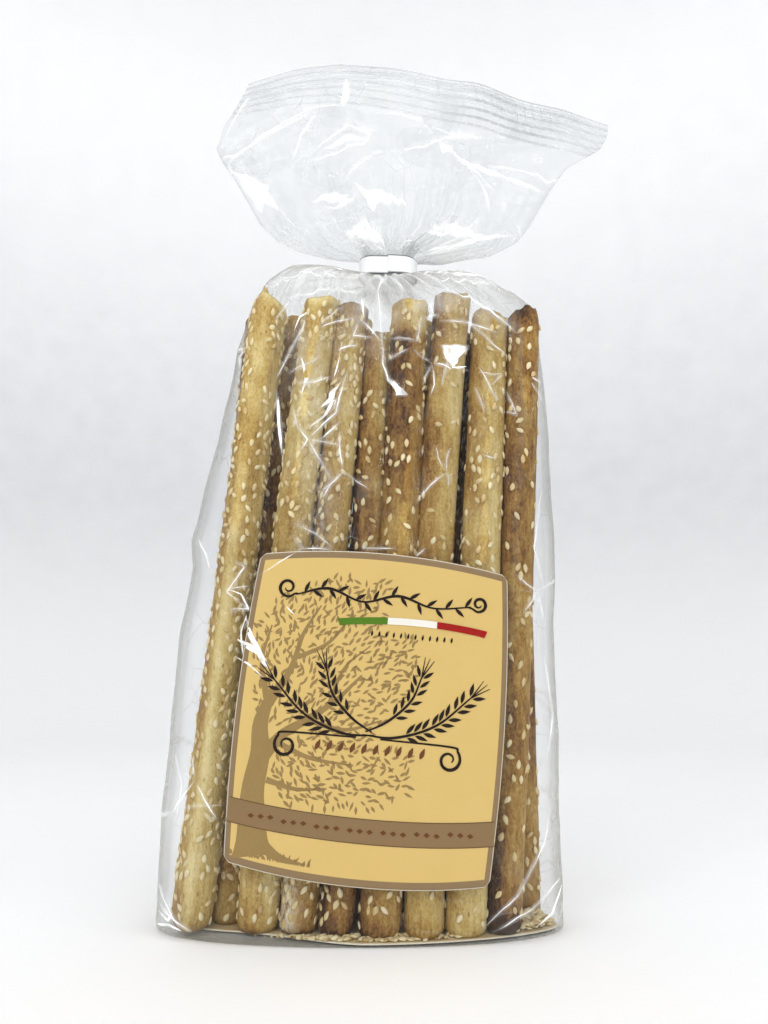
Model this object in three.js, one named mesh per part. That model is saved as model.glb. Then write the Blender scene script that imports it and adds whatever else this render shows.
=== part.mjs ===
// A clear film bag of sesame breadsticks, standing on its flat base, its neck cinched by a
// white clip band and its sealed top fanned out above. Millimetres, +Z up, +X to the right,
// -Y towards the viewer. The origin is the middle of the flat base.
//
// Three solids: the bag with all that is in it, the clip band round its neck, and the paper
// label on its front. The breadsticks lean a little to the right inside the bag, so the bag's
// left side follows them and the neck sits to the right of the base's middle.

import * as THREE from "three";

// Driving sizes.
const STICK_LENGTH = 225;
const STICK_PITCH = 13.6; // from one breadstick's axis to the next across the front
const LEAN = THREE.MathUtils.degToRad(4.6); // of the breadsticks, to the right
const BASE_HALF_WIDTH = 67;
const BASE_HALF_DEPTH = 21;
const BASE_EDGE = 0.8; // rounding where the flat base meets the sides
const NECK = { x: 10.9, bottom: 235.8, top: 244.6, halfWidth: 10.2, halfDepth: 4.2, square: 2.4 };
const GAP = 0.3; // left between the bag and the label
const CLIP_GAP = 0.4; // left all round between the neck and the clip band
const CLIP = { height: 8, thickness: 0.8, slit: 0.5 };
const LABEL = {
  x: 4.8,
  z: 71.5,
  halfWidth: 42.7, // at the corners
  halfHeight: 49.9,
  sideBulge: 2.2, // how far each side bows out past its corners
  endBulge: 3.8,
  tilt: THREE.MathUtils.degToRad(5.2),
  thickness: 0.4,
};

// How finely the surfaces are cut.
const STEPS_PER_SIDE = 36;
const END_CROWDING = 0.7; // how far a ring's steps crowd towards its ends, from 0 to 1
const LABEL_STEPS = { across: 14, up: 12 };
const CLIP_ARC_STEPS = 10;

// The bag's body, from base to neck: height, left and right side, half depth, and how square
// the section is (2 is an ellipse).
const BODY = [
  {
    z: 0,
    left: BASE_EDGE - BASE_HALF_WIDTH,
    right: BASE_HALF_WIDTH - BASE_EDGE,
    depth: BASE_HALF_DEPTH - BASE_EDGE,
    square: 3.2,
  },
  { z: 1.2, left: -BASE_HALF_WIDTH, right: BASE_HALF_WIDTH, depth: BASE_HALF_DEPTH, square: 3.2 },
  { z: 12, left: -66.8, right: 68.6, depth: 19.2, square: 3.6 },
  { z: 34, left: -66.3, right: 69.3, depth: 17.6, square: 4 },
  { z: 96, left: -63.2, right: 69.9, depth: 16.7, square: 4 },
  { z: 140, left: -61.6, right: 71.2, depth: 16.4, square: 4 },
  { z: 180, left: -56, right: 70.3, depth: 16.2, square: 4 },
  { z: 216, left: -48, right: 69.3, depth: 15.8, square: 3.8 },
  { z: 226, left: -43, right: 64.5, depth: 14.4, square: 3.2 },
  { z: 231, left: -36, right: 56, depth: 11.8, square: 2.8 },
  { z: 234, left: -22, right: 40, depth: 8.6, square: 2.4 },
];
const BODY_RING_HEIGHTS = [
  0, 1.2, 5, 12, 22, 34, 48, 62, 76, 90, 104, 118, 132, 146, 160, 174, 188, 200, 210, 217, 222, 226,
  229, 231.2, 232.8, 234,
];

// The dips of the film between two breadsticks, and the heights between which they fade.
const GROOVE = {
  depth: 1.5,
  sharpness: 4,
  from: 4,
  full: 30,
  fades: STICK_LENGTH - 18,
  gone: STICK_LENGTH + 6,
};
const GROOVED_DEPTH = 8; // the section's thin ends, below this half depth, have no grooves

// The fan above the clip: the ends of each ring, how far its middle bows up, and half depth.
const FAN = [
  { left: [-10, 247.4], right: [33, 247.2], bow: 1.8, depth: 7 },
  { left: [-24, 251], right: [51, 250.8], bow: 6, depth: 10 },
  { left: [-36, 255], right: [62.5, 255], bow: 10, depth: 12.5 },
  { left: [-43.5, 264], right: [70.5, 264.5], bow: 14, depth: 13.5 },
  { left: [-50, 277], right: [77.5, 277], bow: 18, depth: 12 },
  { left: [-57, 290], right: [88, 288.5], bow: 21, depth: 9 },
  { left: [-56, 300.5], right: [97.5, 294.5], bow: 21, depth: 6 },
  { left: [-51, 312], right: [101.4, 300.5], bow: 19, depth: 3 },
  { left: [-46.4, 322], right: [102, 306], bow: 17, depth: 0.8 },
];
const FAN_SWAY = { reach: 5, bend: 2.4, shift: 0.5 }; // the fan's top waves forwards and back
const FAN_SQUARE = 2;

const mix = (a, b, t) => a + (b - a) * t;

// The body's row of sizes at any height, eased between the rows above.
function bodyAt(z) {
  const above = BODY.findIndex((row) => row.z >= z);
  if (above <= 0) return BODY[above === 0 ? 0 : BODY.length - 1];
  const low = BODY[above - 1];
  const high = BODY[above];
  const t = (z - low.z) / (high.z - low.z);
  return {
    left: mix(low.left, high.left, t),
    right: mix(low.right, high.right, t),
    depth: mix(low.depth, high.depth, t),
    square: mix(low.square, high.square, t),
  };
}

// Share of the half depth that a squared section keeps at s, from -1 at its left to 1.
function sectionShare(s, square) {
  return Math.pow(Math.max(0, 1 - Math.pow(Math.abs(s), square)), 1 / square);
}

// How far the film dips between two breadsticks. It fades out at the base and the shoulders.
function groove(x, z, depth) {
  if (depth <= GROOVED_DEPTH) return 0;
  const across = (x - z * Math.tan(LEAN)) / STICK_PITCH;
  const between = Math.pow(Math.sin(Math.PI * across), GROOVE.sharpness);
  const rise = THREE.MathUtils.smoothstep(z, GROOVE.from, GROOVE.full);
  const fall = THREE.MathUtils.smoothstep(z, GROOVE.fades, GROOVE.gone);
  return GROOVE.depth * between * rise * (1 - fall);
}

// The bag's front surface without its grooves, as a positive depth, which the label lies on.
function frontDepth(x, z) {
  const row = bodyAt(z);
  const middle = (row.left + row.right) / 2;
  const s = (x - middle) / ((row.right - row.left) / 2);
  return row.depth * sectionShare(s, row.square);
}

// Positions from -1 to 1 along a ring's front, closer together near the ends.
function ringSteps() {
  const steps = [];
  for (let i = 0; i <= STEPS_PER_SIDE; i++) {
    const even = mix(-1, 1, i / STEPS_PER_SIDE);
    steps.push(mix(even, Math.sin((Math.PI / 2) * even), END_CROWDING));
  }
  return steps;
}

// One closed ring of points: along the front from left to right, then back along the rear.
function ring(pointAt) {
  const steps = ringSteps();
  const front = steps.map((s) => pointAt(s, -1));
  const rear = steps.slice(1, -1).reverse().map((s) => pointAt(s, 1));
  return [...front, ...rear];
}

function bodyRing(z) {
  const row = bodyAt(z);
  const middle = (row.left + row.right) / 2;
  const half = (row.right - row.left) / 2;
  return ring((s, side) => {
    const x = middle + s * half;
    const depth = row.depth * sectionShare(s, row.square);
    return new THREE.Vector3(x, side * (depth - groove(x, z, depth)), z);
  });
}

function neckRing(z) {
  return ring((s, side) => {
    const depth = NECK.halfDepth * sectionShare(s, NECK.square);
    return new THREE.Vector3(NECK.x + s * NECK.halfWidth, side * depth, z);
  });
}

function fanRing(row, share) {
  return ring((s, side) => {
    const along = (s + 1) / 2;
    const x = mix(row.left[0], row.right[0], along);
    const z = mix(row.left[1], row.right[1], along) + row.bow * (1 - s * s);
    const sway = FAN_SWAY.reach * share * Math.sin(FAN_SWAY.bend * s + FAN_SWAY.shift);
    return new THREE.Vector3(x, sway + side * row.depth * sectionShare(s, FAN_SQUARE), z);
  });
}

// A closed solid from rings that all have the same number of points, capped at both ends.
function loft(rings) {
  const count = rings[0].length;
  const points = rings.flat();
  const faces = [];
  for (let level = 0; level + 1 < rings.length; level++) {
    for (let i = 0; i < count; i++) {
      const next = (i + 1) % count;
      const a = level * count + i;
      const b = level * count + next;
      faces.push(a, b, b + count, a, b + count, a + count);
    }
  }
  const cap = (level, facesUp) => {
    const ringPoints = rings[level];
    const centre = ringPoints.reduce((sum, p) => sum.add(p), new THREE.Vector3()).divideScalar(count);
    const hub = points.push(centre) - 1;
    for (let i = 0; i < count; i++) {
      const a = level * count + i;
      const b = level * count + ((i + 1) % count);
      faces.push(...(facesUp ? [hub, a, b] : [hub, b, a]));
    }
  };
  cap(0, false);
  cap(rings.length - 1, true);
  const geometry = new THREE.BufferGeometry().setFromPoints(points);
  geometry.setIndex(faces);
  geometry.computeVertexNormals();
  return geometry;
}

// The top seal's cap can't meet at one hub, because the seal is a bent strip: its front edge
// joins its rear edge point by point.
function loftWithStripTop(rings) {
  const geometry = loft(rings);
  const count = rings[0].length;
  const faces = Array.from(geometry.index.array).slice(0, -count * 3);
  const top = (rings.length - 1) * count;
  const rear = (i) => top + (i === 0 ? 0 : count - i); // the rear point behind front point i
  for (let i = 0; i < STEPS_PER_SIDE; i++) {
    const [a, b, c, d] = [top + i, top + i + 1, rear(i + 1), rear(i)];
    if (b !== c) faces.push(a, b, c);
    if (a !== d) faces.push(a, c, d);
  }
  geometry.setIndex(faces);
  return geometry;
}

function makeBag() {
  const rings = [
    ...BODY_RING_HEIGHTS.map(bodyRing),
    neckRing(NECK.bottom),
    neckRing(NECK.top),
    ...FAN.map((row, i) => fanRing(row, (i + 1) / FAN.length)),
  ];
  const film = new THREE.MeshStandardMaterial({
    color: 0xd9c79a,
    roughness: 0.15,
    metalness: 0,
    transparent: true,
    opacity: 0.5,
  });
  const mesh = new THREE.Mesh(loftWithStripTop(rings), film);
  mesh.name = "bag";
  return mesh;
}

// The clip band: a strip bent round the neck, its two ends meeting at the middle of the front.
function makeClip() {
  const straight = NECK.halfWidth - NECK.halfDepth; // half of the flat run
  const inner = NECK.halfDepth + CLIP_GAP;
  const outer = inner + CLIP.thickness;
  const slit = CLIP.slit / 2;
  const outline = new THREE.Shape();
  outline.moveTo(slit, -outer);
  outline.lineTo(straight, -outer);
  outline.absarc(straight, 0, outer, -Math.PI / 2, Math.PI / 2, false);
  outline.lineTo(-straight, outer);
  outline.absarc(-straight, 0, outer, Math.PI / 2, (3 * Math.PI) / 2, false);
  outline.lineTo(-slit, -outer);
  outline.lineTo(-slit, -inner);
  outline.lineTo(-straight, -inner);
  outline.absarc(-straight, 0, inner, (3 * Math.PI) / 2, Math.PI / 2, true);
  outline.lineTo(straight, inner);
  outline.absarc(straight, 0, inner, Math.PI / 2, -Math.PI / 2, true);
  outline.lineTo(slit, -inner);
  outline.closePath();
  const geometry = new THREE.ExtrudeGeometry(outline, {
    depth: CLIP.height,
    bevelEnabled: false,
    curveSegments: CLIP_ARC_STEPS,
  });
  const white = new THREE.MeshStandardMaterial({ color: 0xf7f8f7, roughness: 0.5, metalness: 0 });
  const mesh = new THREE.Mesh(geometry, white);
  mesh.name = "clip_band";
  mesh.position.set(NECK.x, 0, (NECK.bottom + NECK.top - CLIP.height) / 2);
  return mesh;
}

// A point of the label's face: p and q run from -1 to 1 across and up it.
function labelPoint(p, q, out) {
  const u = p * (LABEL.halfWidth + LABEL.sideBulge * (1 - q * q));
  const w = q * (LABEL.halfHeight + LABEL.endBulge * (1 - p * p));
  const x = LABEL.x + u * Math.cos(LABEL.tilt) + w * Math.sin(LABEL.tilt);
  const z = LABEL.z - u * Math.sin(LABEL.tilt) + w * Math.cos(LABEL.tilt);
  return new THREE.Vector3(x, -frontDepth(x, z) - out, z);
}

// The paper label: a thin curved sheet that follows the front of the bag.
function makeLabel() {
  const { across, up } = LABEL_STEPS;
  const points = [];
  for (const out of [GAP, GAP + LABEL.thickness]) {
    for (let j = 0; j <= up; j++) {
      for (let i = 0; i <= across; i++) {
        points.push(labelPoint(mix(-1, 1, i / across), mix(-1, 1, j / up), out));
      }
    }
  }
  const layer = (across + 1) * (up + 1);
  const at = (i, j, sheet) => sheet * layer + j * (across + 1) + i;
  const faces = [];
  const quad = (a, b, c, d) => faces.push(a, b, c, a, c, d);
  for (let j = 0; j < up; j++) {
    for (let i = 0; i < across; i++) {
      quad(at(i, j, 1), at(i + 1, j, 1), at(i + 1, j + 1, 1), at(i, j + 1, 1));
      quad(at(i, j, 0), at(i, j + 1, 0), at(i + 1, j + 1, 0), at(i + 1, j, 0));
    }
  }
  for (let i = 0; i < across; i++) {
    quad(at(i, 0, 0), at(i + 1, 0, 0), at(i + 1, 0, 1), at(i, 0, 1));
    quad(at(i, up, 0), at(i, up, 1), at(i + 1, up, 1), at(i + 1, up, 0));
  }
  for (let j = 0; j < up; j++) {
    quad(at(0, j, 0), at(0, j, 1), at(0, j + 1, 1), at(0, j + 1, 0));
    quad(at(across, j, 0), at(across, j + 1, 0), at(across, j + 1, 1), at(across, j, 1));
  }
  const geometry = new THREE.BufferGeometry().setFromPoints(points);
  geometry.setIndex(faces);
  geometry.computeVertexNormals();
  const paper = new THREE.MeshStandardMaterial({ color: 0xdfc17e, roughness: 0.45, metalness: 0 });
  const mesh = new THREE.Mesh(geometry, paper);
  mesh.name = "label";
  return mesh;
}

const pack = new THREE.Group();
pack.name = "breadstick_pack";
pack.add(makeBag(), makeClip(), makeLabel());

export default pack;
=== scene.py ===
# %% [markdown]
# A clear film bag of sesame breadsticks stands on a card base. A white band cinches its neck and a
# paper label sits on its front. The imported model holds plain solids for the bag, the band and the
# label. This lesson builds what a shopper sees in their place: thin crinkled film, and inside it
# the breadsticks, their seeds and the card. The frame is loaded first, and its box is kept, because
# everything made here has to stay within the real size.

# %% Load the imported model
import math

import bpy
import numpy as np
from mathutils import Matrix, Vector
from mathutils.bvhtree import BVHTree


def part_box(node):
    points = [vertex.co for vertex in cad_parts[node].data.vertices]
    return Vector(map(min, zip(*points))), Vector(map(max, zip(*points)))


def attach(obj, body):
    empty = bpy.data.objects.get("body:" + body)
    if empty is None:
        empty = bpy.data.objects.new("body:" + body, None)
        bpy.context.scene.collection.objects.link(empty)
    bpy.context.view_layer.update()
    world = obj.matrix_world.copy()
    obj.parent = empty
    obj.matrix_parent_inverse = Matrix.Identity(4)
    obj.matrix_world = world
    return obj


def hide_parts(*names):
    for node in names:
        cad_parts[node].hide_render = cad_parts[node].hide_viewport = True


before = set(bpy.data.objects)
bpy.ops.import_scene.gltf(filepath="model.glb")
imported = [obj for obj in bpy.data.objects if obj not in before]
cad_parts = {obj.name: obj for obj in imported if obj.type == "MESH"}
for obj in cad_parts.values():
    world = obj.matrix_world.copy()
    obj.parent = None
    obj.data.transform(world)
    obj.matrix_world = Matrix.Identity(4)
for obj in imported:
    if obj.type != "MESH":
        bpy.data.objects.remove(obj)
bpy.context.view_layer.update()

MM = 0.001  # every size below is in millimetres, and turns into metres when a mesh is made
bag_low, bag_high = (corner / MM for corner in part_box("bag"))
clip_low, clip_high = (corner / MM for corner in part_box("clip_band"))
print("bag, mm:", [round(n) for n in bag_low], [round(n) for n in bag_high])

# %% [markdown]
# Baked dough and crumpled film are uneven at every scale. A texture image could carry that, but the
# shapes here are worked out by formula, so the unevenness is too: a sum of sine waves that run in
# random directions gives smooth lumps, and the same sum with each wave folded at its zero line
# gives the sharp crests of crumpled film. The random numbers always start from a fixed seed.

# %% Uneven shapes by formula
def mix(a, b, share):
    return a + (b - a) * share


def ease(x, low, high):
    """0 below low, 1 above high, and a smooth slope between."""
    t = np.clip((x - low) / (high - low), 0, 1)
    return t * t * (3 - 2 * t)


def lumps(x, y, size, seed, layers=4, folded=False):
    """Uneven values from about -1 to 1 over x and y, with bumps about size across."""
    chance = np.random.default_rng(seed)
    total, weight = 0, 0
    for layer in range(layers):
        reach = size * 0.55**layer
        for _ in range(3):
            turn, start = chance.uniform(0, math.tau, 2)
            wave = np.sin((x * math.cos(turn) + y * math.sin(turn)) * math.pi / reach + start)
            total = total + (1 - 2 * np.abs(wave) if folded else wave) * 0.6**layer
            weight += 0.6**layer
    return total / weight * 1.8


print("lumps along a stick:", np.round(lumps(np.arange(5) * 9.0, 0, 30, 1), 2))

# %% [markdown]
# A mesh can be made with modifiers on a primitive, or straight from numbers. Everything in this bag
# follows a formula along two directions, so one helper turns a grid of points into faces and one
# turns points and faces into a piece. Numbers that the finishes need, such as how baked each point
# is, are stored on the mesh as named values.

# %% From numbers to a mesh
def grid_faces(rows, columns, closed=False):
    """The four-sided faces of a grid of points. Closed joins the last column to the first."""
    across = np.arange(columns if closed else columns - 1)
    up = np.arange(rows - 1)[:, None] * columns
    low, right = up + across, up + (across + 1) % columns
    return np.stack([low, right, right + columns, low + columns], -1).reshape(-1, 4).tolist()


def make_piece(name, points, faces, finishes, values=None, finish_of_face=None, slot=None):
    """A mesh object from points in millimetres, riding on the bag's one body."""
    mesh = bpy.data.meshes.new(name)
    mesh.from_pydata((np.asarray(points, float).reshape(-1, 3) * MM).tolist(), [], faces)
    for key, numbers in (values or {}).items():
        stored = mesh.attributes.new(key, "FLOAT", "POINT")
        stored.data.foreach_set("value", np.asarray(numbers, np.float32).ravel())
    for finish in finishes:
        mesh.materials.append(finish)
    if finish_of_face is not None:
        mesh.polygons.foreach_set("material_index", np.asarray(finish_of_face, np.int32))
    mesh.shade_smooth()
    piece = bpy.data.objects.new(name, mesh)
    bpy.context.scene.collection.objects.link(piece)
    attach(piece, "root")
    print(f"{name}: {sum(len(f) - 2 for f in faces)} triangles")
    return piece


# %% [markdown]
# A finish is a small network of nodes. Wiring each sum by hand hides the idea, so a socket is
# wrapped in a class whose operators add the Math nodes: `1 - mask` reads as it is meant. All other
# nodes come from one method, which sets a node's own settings first and then fills its inputs.

# %% Shader maths as sums
class Socket:
    """One output of a node. A sum written with it adds the Math nodes that work it out."""

    def __init__(self, finish, output):
        self.finish = finish
        self.output = output

    def other(self, name):
        return Socket(self.finish, self.output.node.outputs[name])

    def maths(self, operation, *terms):
        return self.finish.node("ShaderNodeMath", {"operation": operation}, dict(enumerate(terms)))

    def __add__(self, term):
        return self.maths("ADD", self, term)

    def __sub__(self, term):
        return self.maths("SUBTRACT", self, term)

    def __mul__(self, term):
        return self.maths("MULTIPLY", self, term)

    def __truediv__(self, term):
        return self.maths("DIVIDE", self, term)

    def __pow__(self, term):
        return self.maths("POWER", self, term)

    def __abs__(self):
        return self.maths("ABSOLUTE", self)

    def __radd__(self, term):
        return self.maths("ADD", term, self)

    def __rsub__(self, term):
        return self.maths("SUBTRACT", term, self)

    def __rmul__(self, term):
        return self.maths("MULTIPLY", term, self)

    def smallest(self, term):
        return self.maths("MINIMUM", self, term)

    def largest(self, term):
        return self.maths("MAXIMUM", self, term)

    def repeat(self):
        return self.maths("FRACT", self)

    def step(self, low, high):
        """0 up to low, 1 from high on, and smooth between, in either direction."""
        settings = {"interpolation_type": "SMOOTHSTEP"}
        terms = {"Value": self, "From Min": low, "From Max": high}
        if low > high:
            terms.update({"From Min": high, "From Max": low, "To Min": 1.0, "To Max": 0.0})
        return self.finish.node("ShaderNodeMapRange", settings, terms)


class Finish:
    """A material under construction."""

    def __init__(self, name):
        self.material = bpy.data.materials.new(name)
        self.material.use_nodes = True
        self.tree = self.material.node_tree
        self.tree.nodes.clear()

    def node(self, kind, settings=None, inputs=None):
        """Adds a node, sets its own settings, then gives its inputs their values or links."""
        made = self.tree.nodes.new(kind)
        for key, value in (settings or {}).items():
            if key == "stops":
                ramp = made.color_ramp.elements
                while len(ramp) < len(value):
                    ramp.new(0.5)
                for stop, (place, colour) in zip(ramp, value):
                    stop.position = place
                    stop.color = colour
            else:
                setattr(made, key, value)
        for key, value in (inputs or {}).items():
            if isinstance(value, Socket):
                self.tree.links.new(value.output, made.inputs[key])
            else:
                made.inputs[key].default_value = value
        return Socket(self, made.outputs[0]) if made.outputs else None

    def value(self, name):
        """A number that was stored on the mesh."""
        return self.node("ShaderNodeAttribute", {"attribute_name": name}).other("Fac")

    def place(self, stretch=(1, 1, 1)):
        """The point on the object, with each direction stretched, for a texture to read."""
        spot = self.node("ShaderNodeTexCoord").other("Object")
        scale = tuple(s / MM for s in stretch)
        return self.node("ShaderNodeMapping", {}, {"Vector": spot, "Scale": scale})

    def noise(self, size, stretch=(1, 1, 1), detail=3.0, rough=0.5):
        """Soft noise from 0 to 1 with blotches about size millimetres across."""
        return self.node("ShaderNodeTexNoise", {}, {
            "Vector": self.place(stretch), "Scale": 1 / size, "Detail": detail, "Roughness": rough})

    def cells(self, size, stretch=(1, 1, 1), feature="F1"):
        inputs = {"Vector": self.place(stretch), "Scale": 1 / size}
        return self.node("ShaderNodeTexVoronoi", {"feature": feature}, inputs)

    def blend(self, share, first, second):
        """One colour turning into another."""
        made = self.node("ShaderNodeMix", {"data_type": "RGBA"}, {0: share, 6: first, 7: second})
        return Socket(self, made.output.node.outputs[2])

    def bump(self, height, depth):
        """A Normal that tilts with the height, as if it rose by depth millimetres."""
        return self.node("ShaderNodeBump", {}, {"Height": height, "Distance": depth * MM})

    def close(self, shader):
        self.node("ShaderNodeOutputMaterial", {}, {"Surface": shader})
        return self.material


def paint(red, green, blue):
    """A colour given as a screen shows it, from 0 to 255, as the light values shaders use."""
    light = [c / 255 for c in (red, green, blue)]
    return tuple(c / 12.92 if c < 0.04045 else ((c + 0.055) / 1.055) ** 2.4 for c in light) + (1.0,)


print("white paper as light:", [round(c, 2) for c in paint(250, 250, 250)])

# %% [markdown]
# The bag is shown on a plain pale sweep: floor and wall are one surface, so no line shows behind
# clear film. A curved plane works from one side only. This one is turned like a bowl, so that the
# bag can be seen from every side against the same pale ground. Its wall is painted greyer than its
# floor, a painted shade, and glows higher up, lighting the bag though it is no lamp. Large soft lamps
# give even light on the bread, and two narrow bright ones draw crisp lines on the film; the
# brightest lines that tell the eye it looks at film are painted highlights, laid on later.

# %% The pale sweep
SWEEP = {"floor": 620.0, "curve": 480.0, "height": 1900.0, "turns": 96}


def sweep_profile():
    """Radius and height of the bowl, from its middle to its rim."""
    corner = [
        (SWEEP["floor"] + SWEEP["curve"] * math.sin(a), SWEEP["curve"] * (1 - math.cos(a)))
        for a in np.linspace(0, math.pi / 2, 17)
    ]
    return [(1.0, 0.0), (200.0, 0.0), *corner, (SWEEP["floor"] + SWEEP["curve"], SWEEP["height"])]


def full_turn(count):
    """Even angles round a circle."""
    return np.linspace(0, math.tau, count + 1)[:-1]


turns = full_turn(SWEEP["turns"])
bowl = [[r * math.cos(a), r * math.sin(a), z] for r, z in sweep_profile() for a in turns]
pale = Finish("pale_paper")
pale_grain = pale.noise(40.0)
level = pale.node("ShaderNodeSeparateXYZ", {}, {"Vector": pale.place()}).other("Z")
# painted shade: the wall is coloured greyer than the floor
lower = pale.blend(level.step(5.0, 420.0), paint(247, 247, 247), paint(216, 217, 219))
pale_colour = pale.blend(pale_grain * 0.5, lower, paint(242, 243, 244))
# the wall glows more the higher it is and lights the bag, though it is no lamp
glow = pale.blend(level.step(300.0, 1250.0), (0.15, 0.15, 0.15, 1), (1, 1, 1, 1))
pale_shader = pale.node("ShaderNodeBsdfPrincipled", {}, {
    "Base Color": pale_colour, "Roughness": 0.9, "Emission Color": glow, "Emission Strength": 0.43})
sweep_mesh = bpy.data.meshes.new("sweep")
middle = len(bowl)
sweep_faces = grid_faces(len(sweep_profile()), len(turns), closed=True)
sweep_faces += [[middle, (i + 1) % len(turns), i] for i in range(len(turns))]
sweep_mesh.from_pydata((np.array([*bowl, [0, 0, 0]]) * MM).tolist(), [], sweep_faces)
sweep_mesh.materials.append(pale.close(pale_shader))
sweep_mesh.flip_normals()
sweep_mesh.shade_smooth()
sweep = bpy.data.objects.new("sweep", sweep_mesh)
bpy.context.scene.collection.objects.link(sweep)
print("sweep:", len(sweep_faces), "faces")

# %% Lamps and sky
LAMPS = {  # place, what it looks at, width, height, watts
    "overhead_soft": ((0, -160, 1150), (0, -20, 100), 700, 600, 3.3),
    "front_soft": ((-380, -900, 760), (0, 0, 140), 700, 500, 1.8),
    "right_soft": ((850, -420, 560), (0, 0, 130), 300, 700, 0.7),
    "left_strip": ((-620, -700, 620), (0, 0, 150), 50, 700, 0.8),
    "right_strip": ((330, -820, 760), (0, 0, 170), 400, 40, 0.8),
}
for name, (spot, target, width, height, watts) in LAMPS.items():
    light = bpy.data.lights.new(name, "AREA")
    light.shape, light.size, light.size_y, light.energy = "RECTANGLE", width * MM, height * MM, watts
    lamp = bpy.data.objects.new(name, light)
    lamp.location = [n * MM for n in spot]
    away = lamp.location - Vector([n * MM for n in target])
    lamp.rotation_euler = away.to_track_quat("Z", "Y").to_euler()
    bpy.context.scene.collection.objects.link(lamp)
sky = bpy.data.worlds.new("soft_sky")
bpy.context.scene.world = sky
sky.use_nodes = True
sky_light = sky.node_tree.nodes["Background"].inputs
sky_light["Color"].default_value = (0.97, 0.985, 1.0, 1.0)
sky_light["Strength"].default_value = 0.11
print(len(LAMPS), "lamps")

# %% [markdown]
# The camera stands close to the bag, below its middle, and looks slightly up, so upright lines lean
# together towards the top. A long lens from further away would be calmer, but would lose that. The
# bag is many clear layers deep, so a ray may pass through more of them here than Blender would let it
# by itself.

# %% The camera
CAMERA = {"x": 9.3, "y": -281.9, "z": 90.0, "up_deg": 10.65, "lens": 27.05}
camera = bpy.data.objects.new("camera", bpy.data.cameras.new("camera"))
camera.location = (CAMERA["x"] * MM, CAMERA["y"] * MM, CAMERA["z"] * MM)
camera.rotation_euler = (math.radians(90 + CAMERA["up_deg"]), 0, 0)
camera.data.lens = CAMERA["lens"]
camera.data.clip_start, camera.data.clip_end = 0.01, 20
bpy.context.scene.collection.objects.link(camera)
bpy.context.scene.camera = camera
bpy.context.scene.view_settings.view_transform = "Standard"
bpy.context.scene.cycles.transparent_max_bounces = 48
bpy.context.scene.cycles.caustics_reflective = False
print("camera", abs(CAMERA["y"]), "mm in front of the bag's middle")

# %% [markdown]
# A card with rounded ends stiffens the base and shows as a thin pale line under the sticks. It could
# be a bevelled box, but its outline is the same squared oval as the bag's base, so it is lofted from
# nine rings of that oval. Its underside rounds in and is coloured dark as painted shadow, so a dark
# line runs below its pale cut edge.

# %% The base card
CARD = {"x": 4.2, "half_width": 64.2, "half_depth": 18.9, "low": 0.15, "high": 1.2, "square": 1.7}
CARD_RINGS = [  # how far in, share of the card's height, how much cut edge shows, painted underside shade
    (2.8, 0, 0, 1), (2.0, 0, 0, 1), (0.5, 0.4, 0.2, 0.9), (0, 0.6, 1, 0.1), (0, 0.8, 1, 0),
    (0.3, 1, 0.5, 0), (1.0, 1, 0, 0), (12, 1, 0, 0), (18.5, 1, 0, 0),
]


def oval_share(s, square):
    """Share of the half depth that a squared oval keeps at s, from -1 at its left end to 1."""
    return np.clip(1 - np.abs(s) ** square, 0, None) ** (1 / square)


def around(count):
    """Steps round an oval: s from -1 to 1 along its front and back, and -1 or 1 for which."""
    even = np.linspace(-1, 1, count + 1)
    s = mix(even, np.sin(math.pi / 2 * even), 0.7)
    return np.concatenate([s, s[-2:0:-1]]), np.concatenate([-np.ones(count + 1), np.ones(count - 1)])


card_s, card_side = around(90)
card_rings = []
for inset, level, *_ in CARD_RINGS:
    height = mix(CARD["low"], CARD["high"], level)
    depth = (CARD["half_depth"] - inset) * oval_share(card_s, CARD["square"])
    depth = depth * (1 - 0.42 * ease(-card_s, 0.0, 0.7) * (card_side < 0))
    across = CARD["x"] + (CARD["half_width"] - inset) * card_s
    card_rings.append(np.stack([across, card_side * depth, np.full_like(card_s, height)], -1))
card_points = np.concatenate(card_rings)
card_faces = grid_faces(len(card_rings), len(card_s), closed=True)
card_faces.append(list(range(len(card_s)))[::-1])
last = len(card_points) - len(card_s)
card_faces.append(list(range(last, len(card_points))))
cut_edge = np.repeat([ring[2] for ring in CARD_RINGS], len(card_s))
under = np.repeat([ring[3] for ring in CARD_RINGS], len(card_s))
board = Finish("pale_card")
fibre = board.noise(1.2, detail=4.0)
spots = board.noise(9.0, detail=2.0)
face_colour = board.blend(spots.step(0.4, 0.65), paint(222, 202, 154), paint(202, 176, 124))
card_colour = board.blend(board.value("cut_edge") * 0.9, face_colour, paint(240, 234, 216))
# painted shadow: the underside rings are coloured dark, as if in shade
card_colour = board.blend(board.value("under"), card_colour, paint(104, 94, 80))
card_shader = board.node("ShaderNodeBsdfPrincipled", {}, {
    "Base Color": card_colour, "Roughness": 0.6 + 0.2 * fibre, "Normal": board.bump(fibre, 0.08)})
make_piece("base_card", card_points, card_faces, [board.close(card_shader)],
           {"cut_edge": cut_edge, "under": under}, slot="base_card")

# %% [markdown]
# Each breadstick was rolled by hand, so no two match: they differ in thickness, bow, browning and
# how their ends broke. A bent cylinder with noise would look cast. Here a stick is a formula of the
# angle round it and the way up it, which gives its wall, its rounded foot and its broken crater of
# a head, and later tells each seed where the surface is. The front row leans a little to the right.

# %% The breadsticks' table
SOLE = CARD["high"] + 0.1  # height of the sticks' feet
KNEE = 154.0  # height of the middle x below
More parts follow.
